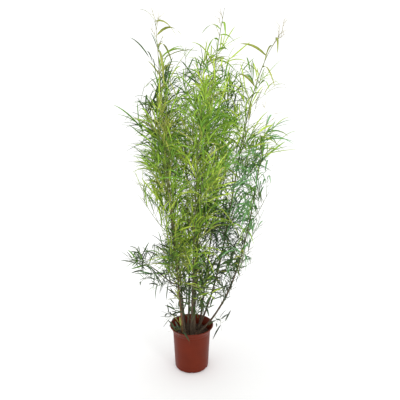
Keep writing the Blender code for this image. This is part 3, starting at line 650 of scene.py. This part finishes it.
SHORT_SHOOT_DROOP = 0.8
POT_ROOM = 0.006
# The height, and how far the crown reaches there to the left, to the right, and to front and back.
CROWN_LEVELS = np.array([
    (0.20, 0.160, 0.180, 0.150),
    (0.36, 0.170, 0.215, 0.210),
    (0.46, 0.220, 0.265, 0.250),
    (0.53, 0.340, 0.315, 0.280),
    (0.58, 0.375, 0.325, 0.290),
    (0.63, 0.375, 0.315, 0.300),
    (0.66, 0.350, 0.315, 0.305),
    (0.69, 0.190, 0.335, 0.305),
    (0.77, 0.160, 0.365, 0.310),
    (0.85, 0.190, 0.345, 0.325),
    (0.92, 0.235, 0.350, 0.340),
    (0.99, 0.315, 0.385, 0.350),
    (1.10, 0.370, 0.440, 0.360),
    (1.17, 0.400, 0.600, 0.370),
    (1.32, 0.395, 0.600, 0.370),
    (1.37, 0.310, 0.540, 0.365),
    (1.41, 0.225, 0.530, 0.360),
    (1.45, 0.215, 0.520, 0.355),
    (1.54, 0.240, 0.500, 0.330),
    (1.66, 0.310, 0.510, 0.270),
])
CROWN_SIDES = (-0.380, 0.512)
CROWN_TOP = 1.762
OPENING = (0.340, 1.308, 0.118, 0.026, 48)  # sky behind the arch: x, z, half length, half width, lean
GOLDEN_TURN = math.radians(137.5)
TWIG_STEPS = 6
TWIG_SIDES = 5
TWIG_TAPER = 0.35
LOW_TINTS = (0, 6, 0, 4, 32, 56, 2)         # shares near the foot of the plant, on any stem
LOW_SPRAY_HEIGHT = 0.62                     # sprays that end lower have short broad leaves
LOW_DROOP = 0.22


@dataclass
class Growth:
    """How a spray grows."""
    spacing: float              # of its leaves
    breadth: float              # of a leaf, for its length
    leaf_share: float           # its leaves' length, for those of its stem
    side_count: int             # side twigs
    side_length: float
    fine_twigs: int             # on each side twig
    leafy_to: float = 1.0       # its twigs are bare beyond this share
    roll: float = 0.80          # how far its leaves turn on their midribs, in radians
    spread: tuple = (48, 20)    # degrees its leaves lean out, from a twig's foot to its tip
    reach: tuple = (0, 0, 0)    # what its leaves are drawn towards


# The leaders have few long leaves that stand well out, and those of the arch reach to the right.
LEADER = Growth(0.029, 0.060, 1.14, 2, 0.100, 0, 0.84, 0.9, (78, 58))
WIRY = Growth(0.034, 0.060, 1.24, 1, 0.100, 0, 0.84, 0.9, (78, 58))
REACHING = Growth(0.0112, 0.052, 1.50, 8, 0.100, 0, 1.0, 0.9, (72, 60), (0.95, 0, -0.30))
# The rest of the crown is dense and fine, thinner on the left, with broader leaves under the arch.
SHY_HEAD = Growth(0.0200, 0.050, 0.75, 6, 0.075, 1, 0.72)
HEAD = Growth(0.0125, 0.038, 1.22, 12, 0.120, 2)
SIDE = Growth(0.0125, 0.038, 1.22, 11, 0.130, 2)
SPARSE = Growth(0.0180, 0.038, 1.32, 7, 0.150, 2)
HANGING = Growth(0.0112, 0.064, 1.22, 14, 0.130, 2)
SHORT = Growth(0.0120, 0.041, 1.00, 0, 0.0, 0)
THIN_SHORT = Growth(0.0190, 0.041, 1.05, 0, 0.0, 0)
# Low on the plant the leaves are short and broad, and turned every way.
LOW = Growth(0.0145, 0.086, 0.66, 13, 0.115, 0, 1.0, 1.2, (60, 30))
LOW_SHORT = Growth(0.0135, 0.100, 0.52, 0, 0.0, 0, 1.0, 1.2, (60, 30))
BOUGH = Growth(0.0056, 0.080, 0.84, 13, 0.130, 0, 1.0, 1.2, (72, 34))
BOUGH_SHORT = Growth(0.0058, 0.080, 0.82, 0, 0.0, 0, 1.0, 1.2, (72, 34))
RIM = Growth(0.0070, 0.125, 0.98, 6, 0.055, 0, 1.0, 1.2)
SIDE_GROWTHS = {"arching": HANGING, "left": SPARSE, "back_left": SPARSE}
SHORT_GROWTHS = {"left": THIN_SHORT, "back_left": THIN_SHORT, "mid_left": THIN_SHORT}
LEADER_TINTS = (20, 58, 14, 8, 0, 0, 0)
LEADERS = {             # the growth, droop and tints of the heads that stand out of the crown
    "left": (LEADER, 1.05, LEADER_TINTS),
    "centre": (LEADER, 1.00, LEADER_TINTS),
    "right": (WIRY, 1.10, LEADER_TINTS),
    "arching": (REACHING, 0.42, (26, 30, 16, 6, 0, 0, 22)),
}


@dataclass
class Twig:
    """One twig's path and radius, and the leaves it carries."""
    path: np.ndarray
    radius: float
    growth: Growth
    leaf_length: float
    droop: float
    tint: int


def distance_to_path(points, path):
    """How far each point is from a path of straight runs."""
    starts, runs = path[:-1], np.diff(path, axis=0)
    offset = points[:, None, :] - starts[None]
    along = (offset * runs).sum(2) / (runs * runs).sum(1)
    nearest = starts + np.clip(along, 0.0, 1.0)[..., None] * runs
    return np.linalg.norm(points[:, None, :] - nearest, axis=2).min(1)


def room_for(path, limbs, shoots):
    """The least room about a path past its root: to limbs and to the other shoots."""
    steps = np.linspace(ROOT_RUNS, len(path) - 1, ROOM_SAMPLES * len(path))
    outer = np.array([np.interp(steps, range(len(path)), axis) for axis in path.T]).T
    rooms = [distance_to_path(outer, limb).min() - radius for limb, radius in limbs]
    rooms += [distance_to_path(outer, shoot).min() for shoot in shoots]
    return min(rooms)


def turn_clear(stem, ring, bearing, shape, limbs, shoots):
    """Turn a shoot about its stem, by more and more to either side, until it has room."""
    path, radii = stem_path(stem), stem_radii(stem)
    best_room = -math.inf
    for attempt in range(TURN_TRIES):
        turned_to = bearing + TURN_STEP * ((attempt + 1) // 2) * (-1) ** attempt
        start, facing = off_stem(path, radii, ring, turned_to)
        twig = side_path(start, facing, turned_to, *shape)
        room = room_for(twig, limbs, shoots)
        if room > best_room + ROOM_GAIN:
            best_room, best = room, twig
        if room > SHOOT_SPACING:
            break
    return best


def in_crown(points, thinning=1.0):
    """Which points lie in the crown: an ellipse at each height, off the pot and the opening.

    A thinning above 1 draws the ellipse in by that share. The opening is an upright
    ellipse seen from the front, that leans and runs through the whole depth.
    """
    heights, left, right, depth = CROWN_LEVELS.T
    x, y, z = points.T
    side = np.where(x < 0, np.interp(z, heights, left), np.interp(z, heights, right))
    within = thinning**2 * ((x / side)**2 + (y / np.interp(z, heights, depth))**2) < 1
    off_pot = (np.hypot(x, y) > RIM_RADIUS + POT_ROOM) | (z > POT_HEIGHT + POT_ROOM)
    middle, level, half_length, half_width, degrees = OPENING
    lean = math.radians(degrees)
    along = (x - middle) * math.cos(lean) + (z - level) * math.sin(lean)
    across = (z - level) * math.cos(lean) - (x - middle) * math.sin(lean)
    outside = (along / half_length)**2 + (across / half_width)**2 > 1
    off_sides = (x > CROWN_SIDES[0]) & (x < CROWN_SIDES[1])
    return within & outside & off_pot & off_sides & (z < CROWN_TOP) & (z > POT_ROOM)


def square_to(along):
    """Two unit directions that are square to each direction and to each other."""
    across = unit(np.cross(along, UP + ASIDE))
    return across, np.cross(along, across)


def along_path(path, shares):
    """Points and directions at shares of a path's runs."""
    spot = np.clip(np.asarray(shares), 0, 0.9999) * (len(path) - 1)
    place = spot.astype(int)
    points = path[place] + (spot - place)[:, None] * (path[place + 1] - path[place])
    return points, unit(path[place + 1] - path[place])


def branch(parent, share, angle, length, lift=SIDE_TWIG_AIM[2]):
    """A side twig's path: partly along its parent, partly out of it, partly up, then bowed."""
    root, along = (value[0] for value in along_path(parent, [share]))
    across, other = square_to(along)
    out = math.cos(angle) * across + math.sin(angle) * other
    aim = unit(SIDE_TWIG_AIM[0] * along + SIDE_TWIG_AIM[1] * out + lift * UP)
    steps = np.linspace(0.0, 1.0, TWIG_STEPS)[:, None]
    return root + steps * length * aim - SIDE_TWIG_SAG * length * steps**2 * UP


def deal_tint(height, stem):
    """A tint by its stem's shares, which turn to LOW_TINTS towards the foot of the plant."""
    upper = np.array(SHADE_TINTS if height < stem.shade_to else stem.tints)
    odds = between((np.array(LOW_TINTS), upper), np.interp(height, stem.low_heights, (0, 1)))
    return int(dice.choice(len(odds), p=odds / odds.sum()))


def grow_spray(main, radius, growth, leaf_length, droop, stem):
    """A main twig with side twigs by the golden turn, each with its own finer twigs."""
    leaf_length = leaf_length * growth.leaf_share
    grown = [Twig(main, radius, growth, leaf_length, droop, deal_tint(main[-1][2], stem))]
    turn = dice.uniform(0, 2 * math.pi)
    for share in np.linspace(*SIDE_TWIG_PLACES, growth.side_count):
        turn += GOLDEN_TURN
        tint = deal_tint(main[-1][2], stem)
        fade = SIDE_TWIG_FADE[0] - SIDE_TWIG_FADE[1] * share
        length = growth.side_length * fade * dice.uniform(*SIDE_TWIG_LENGTHS)
        side = branch(main, share, turn, length)
        if not in_crown(side[2:]).all():
            continue
        grown.append(Twig(side, SIDE_TWIG_RADIUS * radius, growth, SIDE_TWIG_LEAF * leaf_length,
                          droop, tint))
        for fine_share in dice.uniform(*FINE_TWIG_PLACES, growth.fine_twigs):
            fine = branch(side, fine_share, dice.uniform(0, 2 * math.pi), FINE_TWIG_LENGTH * length)
            if in_crown(fine[2:]).all():
                grown.append(Twig(fine, FINE_TWIG_RADIUS * radius, growth,
                                  FINE_TWIG_LEAF * leaf_length, droop, tint))
    return grown


limbs = [(stem_path(stem), stem.radius) for stem in STEMS.values()] + [(bough_path, BOUGH_RADIUS)]
main_twigs, twigs = [], []
mass_nodes = [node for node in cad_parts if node.endswith(("_head", "_spray", "_foliage"))]
mass_nodes += [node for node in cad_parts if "_side_" in node]

for name, stem in STEMS.items():
    head = bezier(stem_handles(stem), np.linspace(STEM_SHARE, 1.0, HEAD_POINTS))
    main_twigs.append(head)
    if name in LEADERS:
        growth, droop, tints = LEADERS[name]
        twigs += grow_spray(head, HEAD_RADIUS, growth, stem.leaf_length, droop,
                            replace(stem, tints=tints))
    else:
        growth = SHY_HEAD if name == "mid_left" else HEAD
        twigs += grow_spray(head, HEAD_RADIUS, growth, stem.leaf_length, stem.droop, stem)

for name, stem in STEMS.items():
    for index in range(stem.shoots):
        share = index / (stem.shoots - 1)
        ring = round(stem.lowest_ring + index * (STEM_RINGS - stem.lowest_ring) / stem.shoots)
        bearing = stem.bearing + between(SHOOT_SWING, share) * (-1) ** index
        length = stem.shoot_length * between(SHOOT_GROWTH, share)
        shape = (length, between(SHOOT_RISE, share), SHOOT_SAG)
        main = turn_clear(stem, ring, bearing, shape, limbs, main_twigs)
        main_twigs.append(main)
        growth, droop = SIDE_GROWTHS.get(name, SIDE), stem.droop
        if main[-1][2] < LOW_SPRAY_HEIGHT:
            growth, droop = LOW, LOW_DROOP
        leaf_length = stem.leaf_length * between(LEAF_GROWTH, share)
        twigs += grow_spray(main, SHOOT_RADIUS, growth, leaf_length, droop, stem)

for carrier, ring, bearing, length, rise in RIM_SPRAYS:
    shape = (length, rise, RIM_SPRAY_SAG)
    main = turn_clear(STEMS[carrier], ring, bearing, shape, limbs, main_twigs)
    main_twigs.append(main)
    twigs += grow_spray(main, RIM_SPRAY_RADIUS, RIM, RIM_SPRAY_LEAF, LOW_DROOP, STEMS[carrier])

bough_steps = np.linspace(0.0, 1.0, HEAD_POINTS)[:, None]
bough_end = unit(bough_path[-1] - bough_path[-2])
bough_twig = bough_path[-1] + bough_steps * BOUGH_TWIG_LENGTH * bough_end
bough_twig -= BOUGH_TWIG_SAG * bough_steps**2 * UP
twigs += grow_spray(bough_twig, BOUGH_TWIG_RADIUS, BOUGH, BOUGH_LEAF, LOW_DROOP, STEMS[BOUGH_STEM])
for share in BOUGH_SHOOT_SHARES:
    angle = math.radians(dice.uniform(*BOUGH_SHOOT_ANGLES))
    shoot = branch(bough_path, share, angle, dice.uniform(*BOUGH_SHOOT_LENGTHS), BOUGH_SHOOT_LIFT)
    twigs += grow_spray(shoot, SHORT_SHOOT_RADIUS, BOUGH_SHORT, BOUGH_LEAF, LOW_DROOP,
                        STEMS[BOUGH_STEM])

# Short leafy shoots straight off the stems, between the masses, shorter towards the tips.
for name, stem in STEMS.items():
    path = bezier(stem_handles(stem), np.linspace(0.0, 1.0, 2 * STEM_RINGS))
    turn = dice.uniform(0, 2 * math.pi)
    leafy = (SHORT_SHOOT_STEPS >= stem.bare_to) & (SHORT_SHOOT_STEPS < stem.bare_from)
    lengths = LONG_SHOOT_LENGTHS if name in LONG_SHOOT_STEMS else SHORT_SHOOT_LENGTHS
    for step in SHORT_SHOOT_STEPS[leafy]:
        turn += GOLDEN_TURN
        shoot = branch(path, step, turn, dice.uniform(*lengths) * np.interp(step, *SHORT_SHOOT_FADE))
        if not in_crown(shoot[2:]).all():
            continue
        growth, droop = SHORT_GROWTHS.get(name, SHORT), SHORT_SHOOT_DROOP * stem.droop
        if shoot[-1][2] < LOW_SPRAY_HEIGHT:
            growth, droop = LOW_SHORT, LOW_DROOP
        twigs += grow_spray(shoot, SHORT_SHOOT_RADIUS, growth, stem.leaf_length, droop, stem)


def resample(path, count):
    """The path again with a given number of points, evenly along its runs."""
    return along_path(path, np.linspace(0, 1, count))[0]


def twig_meshes(twigs):
    """Twigs as tubes that taper to a third, each closed with a pole at both ends.

    A twig's vertices stand in the order of shell: the two poles, then ring after ring.
    """
    paths = np.array([resample(twig.path, TWIG_STEPS) for twig in twigs])
    radii = np.array([twig.radius for twig in twigs])[:, None] * np.linspace(1.0, TWIG_TAPER, TWIG_STEPS)
    rings = tubes(paths, radii, TWIG_SIDES)
    vertices = np.concatenate([paths[:, [0, -1]], rings.reshape(len(twigs), -1, 3)], 1)
    faces = shell(capped(rings[0]))[1]
    size = vertices.shape[1]
    return vertices.reshape(-1, 3), [[corner + size * index for corner in face]
                                     for index in range(len(twigs)) for face in faces]


YOUNG_WOOD = linear(88, 86, 46), linear(94, 114, 48), linear(110, 134, 56)
PALE_WOOD = linear(150, 140, 104), linear(168, 164, 124), linear(176, 180, 138)


def twig_material(name, colours):
    """Young wood: three shades in patches, with fine lengthwise streaks."""
    material, nodes, links, shader = new_material(name, 0.62)
    patches = noise(nodes, links, place_on(nodes, links), 9.0, 3.0)
    colour = ramp(nodes, links, patches, list(zip((0.35, 0.55, 0.72), colours)))
    links.new(colour, shader.inputs["Base Color"])
    streaks = noise(nodes, links, place_on(nodes, links, (1, 1, 0.15)), 500.0)
    bump(nodes, links, shader, streaks, 0.3, 0.0003)
    return material


add_piece("leafy_twigs", twig_meshes(twigs), twig_material("young_wood", YOUNG_WOOD), mass_nodes)

# The leaders end in a few bare, wiry, forked tips, paler than the rest.
TIP_SHARES, TIP_LENGTHS, TIP_RADIUS = (0.70, 0.80, 0.88, 0.94, 0.98), (0.05, 0.09), 0.0015
FORK_SHARES, FORK_LENGTHS, FORK_RADIUS = (0.35, 0.6, 0.8), (0.025, 0.045), 0.00105
bare_tips = []
for name in LEADERS:
    head = bezier(stem_handles(STEMS[name]), np.linspace(STEM_SHARE, 1.0, HEAD_POINTS))
    for share in TIP_SHARES:
        tip = branch(head, share, dice.uniform(0, 2 * math.pi), dice.uniform(*TIP_LENGTHS))
        forks = [branch(tip, place, dice.uniform(0, 2 * math.pi), dice.uniform(*FORK_LENGTHS))
                 for place in FORK_SHARES]
        bare_tips += [Twig(path, radius, LEADER, 0.0, 0.0, 0)
                      for path, radius in [(tip, TIP_RADIUS)] + [(fork, FORK_RADIUS) for fork in forks]
                      if in_crown(path[1:]).all()]
head_nodes = [name + "_head" for name in LEADERS]
add_piece("bare_tips", twig_meshes(bare_tips), twig_material("pale_wood", PALE_WOOD), head_nodes)

# --- The leaves ---------------------------------------------------------------------
# Long narrow leathery blades, pointed at both ends, folded a little along the midrib
# and arched over by their own weight. Each spray has one of seven tints.

LEAF_SHARES = np.array((0.08, 0.22, 0.38, 0.54, 0.70, 0.84, 0.94))   # rings between the points
OUTLINE_POWERS = (0.55, 0.75)       # half width t^p (1-t)^q, widest a little below the middle
LEAF_THICKNESS = 0.00045
LEAF_FOLD = 0.28
LEAF_RISE = 0.25
LEAF_CURL = 0.07
LEAF_SHARP = 70
BOW_SHORTENING = 0.6
BARE_SHARE = 0.08                   # the share of a twig before its first leaf
FIRST_LEAF = 0.7                    # how far through its own stretch of the twig a leaf stands
FEWEST_LEAVES = 3
AIRY_SPACING = (0.65, 1.10), (1.30, 0.92)    # two heights, and the shares of the spacing there
LEAN_SPREAD = 0.14                  # in radians
LEAF_LENGTHS, LEAF_BREADTHS, LEAF_DROOPS = (0.65, 1.15), (0.85, 1.15), (0.3, 1.6)
LENGTH_ALONG = (0, 0.4, 1), (0.8, 1, 0.85)   # shares of the twig, and of the length there
THINNING = 1.26             # for a leaf the crown is drawn in by up to this, so its edge is thin
DRY_TIP = 150, 146, 78
TINT_SHEEN = (0.15, 0.15, 0.15, 0.15, 0.30, 0.40, 0.20)      # specular level: old leaves shine more
TINT_COLOURS = (
    ((170, 190, 72), (142, 168, 52)),
    ((148, 154, 74), (120, 130, 56)),
    ((136, 168, 58), (112, 146, 46)),
    ((102, 144, 50), (82, 120, 38)),
    ((60, 90, 34), (42, 66, 22)),
    ((60, 76, 46), (42, 56, 34)),
    ((108, 150, 94), (78, 120, 70)),
)


def leaves_of(twig):
    """Rows of root, aim, roll, curl, length, width and droop of a twig's leaves.

    The leaves are set by the golden turn. They lean out less towards the twig's tip, and
    those half way along are the longest.
    """
    length = np.linalg.norm(np.diff(twig.path, axis=0), axis=1).sum()
    spacing = twig.growth.spacing * np.interp(twig.path[-1][2], *AIRY_SPACING)
    count = max(FEWEST_LEAVES, int(length * (1 - BARE_SHARE) / spacing))
    shares = BARE_SHARE + (twig.growth.leafy_to - BARE_SHARE) * (np.arange(count) + FIRST_LEAF) / count
    roots, along = along_path(twig.path, shares)
    across, other = square_to(along)
    turns = (dice.uniform(0, 2 * math.pi) + GOLDEN_TURN * np.arange(count))[:, None]
    spread = np.radians(between(twig.growth.spread, shares)) + dice.normal(0, LEAN_SPREAD, count)
    out = np.cos(turns) * across + np.sin(turns) * other
    lean = LEAF_RISE * UP + np.array(twig.growth.reach)
    aims = unit(np.cos(spread)[:, None] * along + np.sin(spread)[:, None] * out + lean)
    rolls, curls = dice.normal(0, twig.growth.roll, count), dice.normal(0, LEAF_CURL, count)
    sizes = twig.leaf_length * dice.uniform(*LEAF_LENGTHS, count) * np.interp(shares, *LENGTH_ALONG)
    widths = sizes * twig.growth.breadth * dice.uniform(*LEAF_BREADTHS, count)
    droops = twig.droop * dice.uniform(*LEAF_DROOPS, count)
    return np.hstack([roots, aims, np.stack([rolls, curls, sizes, widths, droops], 1)])


def blades(leaves):
    """Leaf meshes [leaf, vertex] and midribs, from the rows of leaves_of.

    The midrib is root + length (t aim + curl t^2 side - droop t^2 up), over the square
    root of 1 + BOW_SHORTENING droop^2, so that a bowed leaf keeps its length. At each
    ring the edges stand half a width to either side and are lifted by LEAF_FOLD of
    that, and the midrib is half a thickness above and below.
    """
    roots, aims = leaves[:, :3], leaves[:, 3:6]
    roll, curl, length, width, droop = (leaves[:, column, None] for column in range(6, 11))
    side, over = square_to(aims)
    side, flat = np.cos(roll) * side - np.sin(roll) * over, -np.cos(roll) * over - np.sin(roll) * side
    t = np.concatenate([[0.0], LEAF_SHARES, [1.0]])[None, :, None]
    bow = (curl * side - droop * UP)[:, None] * t**2
    reach = length / np.sqrt(1 + BOW_SHORTENING * droop**2)
    midrib = roots[:, None] + reach[:, None] * (t * aims[:, None] + bow)
    outline = LEAF_SHARES**OUTLINE_POWERS[0] * (1 - LEAF_SHARES)**OUTLINE_POWERS[1]
    half = width / 2 * (outline / outline.max())
    edge = half[..., None] * side[:, None]
    lift = half[..., None] * LEAF_FOLD * flat[:, None]
    skin = (LEAF_THICKNESS / 2) * flat[:, None]
    middle = midrib[:, 1:-1]
    rings = np.stack([middle + edge + lift, middle + skin, middle - edge + lift, middle - skin], 2)
    return np.concatenate([midrib[:, :1], midrib[:, -1:], rings.reshape(len(leaves), -1, 3)], 1), midrib


def leaf_material(name, colours, sheen):
    """A leathery blade: two shades in drifts, a paler midrib, and a dry pale tip."""
    material, nodes, links, shader = new_material(name, 0.52)
    shader.inputs["Specular IOR Level"].default_value = sheen
    drift = noise(nodes, links, place_on(nodes, links), 26.0, 3.0)
    blade = ramp(nodes, links, drift, [(0.38, linear(*colours[1])), (0.62, linear(*colours[0]))])
    place = nodes.new("ShaderNodeSeparateXYZ")
    links.new(nodes.new("ShaderNodeTexCoord").outputs["UV"], place.inputs["Vector"])
    rib = ramp(nodes, links, place.outputs["X"],
               [(0.34, (0, 0, 0, 1)), (0.50, (0.35, 0.35, 0.35, 1)), (0.66, (0, 0, 0, 1))])
    ribbed = mix(nodes, links, rib, blade, linear(*(1.22 * np.array(colours[0]))))
    tip = ramp(nodes, links, place.outputs["Y"], [(0.90, (0, 0, 0, 1)), (1.0, (0.5, 0.5, 0.5, 1))])
    links.new(mix(nodes, links, tip, ribbed, linear(*DRY_TIP)), shader.inputs["Base Color"])
    bump(nodes, links, shader, noise(nodes, links, place_on(nodes, links), 700.0, 2.0), 0.2, 0.0002)
    return material


def add_leaves(name, vertices, material):
    """One tint's leaves as a joined mesh, with UV across the blade and along it."""
    count, size = vertices.shape[:2]
    faces = np.array([corner for face in blade_faces for corner in face])
    corners = (faces + size * np.arange(count)[:, None]).ravel()
    sizes = np.tile([len(face) for face in blade_faces], count)
    across = np.concatenate([[0.5, 0.5], np.tile((1.0, 0.5, 0.0, 0.5), len(LEAF_SHARES))])
    up = np.concatenate([[0.0, 1.0], np.repeat(LEAF_SHARES, 4)])
    mesh = bpy.data.meshes.new(name)
    mesh.vertices.add(count * size)
    mesh.vertices.foreach_set("co", vertices.astype(np.float32).ravel())
    mesh.loops.add(len(corners))
    mesh.loops.foreach_set("vertex_index", corners.astype(np.int32))
    mesh.polygons.add(len(sizes))
    mesh.polygons.foreach_set("loop_start", (np.cumsum(sizes) - sizes).astype(np.int32))
    uv = mesh.uv_layers.new(name="blade")
    places = np.stack([across, up], 1)[np.tile(faces, count)]
    uv.data.foreach_set("uv", places.astype(np.float32).ravel())
    mesh.update(calc_edges=True)
    mesh.materials.append(material)
    mesh.shade_smooth()
    mesh.set_sharp_from_angle(angle=math.radians(LEAF_SHARP))
    piece = bpy.data.objects.new(name, mesh)
    bpy.context.scene.collection.objects.link(piece)
    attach(piece, "root")
    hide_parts(*mass_nodes)


blade_faces = shell(np.zeros((len(LEAF_SHARES) + 2, 4, 3)))[1]
for tint, name in enumerate(TINTS):
    rows = np.vstack([leaves_of(twig) for twig in twigs if twig.tint == tint])
    vertices, midribs = blades(rows)
    outer = midribs[:, 3:]
    thinning = np.repeat(dice.uniform(1.0, THINNING, len(rows)), outer.shape[1])
    kept = in_crown(outer.reshape(-1, 3), thinning).reshape(len(rows), -1).all(1)
    material = leaf_material(name + "_leaf", TINT_COLOURS[tint], TINT_SHEEN[tint])
    add_leaves(name + "_leaves", vertices[kept], material)

# --- The studio ---------------------------------------------------------------------
# A plain white floor and soft light from all round, with a soft lamp high on the right.
# The camera looks slightly down from the height of the plant's head.

CAMERA_PLACE = (0.0427, -2.5, 1.65)
CAMERA_TILT = 16.85         # degrees below the level
CAMERA_LENS = 49.65
FLOOR_SIZE = 40.0
WHITE = (1.0, 1.0, 1.0, 1.0)
SKY_STRENGTH = 1.14
LAMP_PLACE = (1.6, -2.2, 2.3)
LAMP_TARGET = (0.05, 0.0, 1.20)
LAMP_CONE = 34.0            # degrees across
LAMP_SOFTNESS = 1.0         # the share of the cone that it fades over
LAMP_RADIUS = 0.5
LAMP_POWER = 340.0


def look_at(piece, target):
    """Turn a lamp so that its -Z axis points at a target."""
    from_target = np.array(piece.location) - np.array(target)
    level = math.hypot(from_target[0], from_target[1])
    piece.rotation_euler = (math.atan2(level, from_target[2]), 0.0,
                            math.atan2(from_target[1], from_target[0]) + math.pi / 2)


floor_material, _, _, floor_shader = new_material("white_floor", 0.9)
floor_shader.inputs["Base Color"].default_value = WHITE
floor_shader.inputs["Specular IOR Level"].default_value = 0.0
floor_mesh = bpy.data.meshes.new("studio_floor")
half_floor = FLOOR_SIZE / 2
floor_mesh.from_pydata([(-half_floor, -half_floor, 0), (half_floor, -half_floor, 0),
                        (half_floor, half_floor, 0), (-half_floor, half_floor, 0)], [], [(0, 1, 2, 3)])
floor_mesh.materials.append(floor_material)
studio_floor = bpy.data.objects.new("studio_floor", floor_mesh)
bpy.context.scene.collection.objects.link(studio_floor)

world = bpy.data.worlds.new("studio")
world.use_nodes = True
world.node_tree.nodes["Background"].inputs["Color"].default_value = WHITE
world.node_tree.nodes["Background"].inputs["Strength"].default_value = SKY_STRENGTH
bpy.context.scene.world = world

lamp_data = bpy.data.lights.new("soft_lamp", "SPOT")
lamp_data.energy = LAMP_POWER
lamp_data.spot_size = math.radians(LAMP_CONE)
lamp_data.spot_blend = LAMP_SOFTNESS
lamp_data.shadow_soft_size = LAMP_RADIUS
lamp = bpy.data.objects.new("soft_lamp", lamp_data)
lamp.location = LAMP_PLACE
look_at(lamp, LAMP_TARGET)
bpy.context.scene.collection.objects.link(lamp)

camera_data = bpy.data.cameras.new("camera")
camera_data.lens = CAMERA_LENS
camera = bpy.data.objects.new("camera", camera_data)
camera.location = CAMERA_PLACE
camera.rotation_euler = (math.radians(90 - CAMERA_TILT), 0.0, 0.0)
bpy.context.scene.collection.objects.link(camera)
bpy.context.scene.camera = camera
bpy.context.scene.view_settings.view_transform = "Standard"
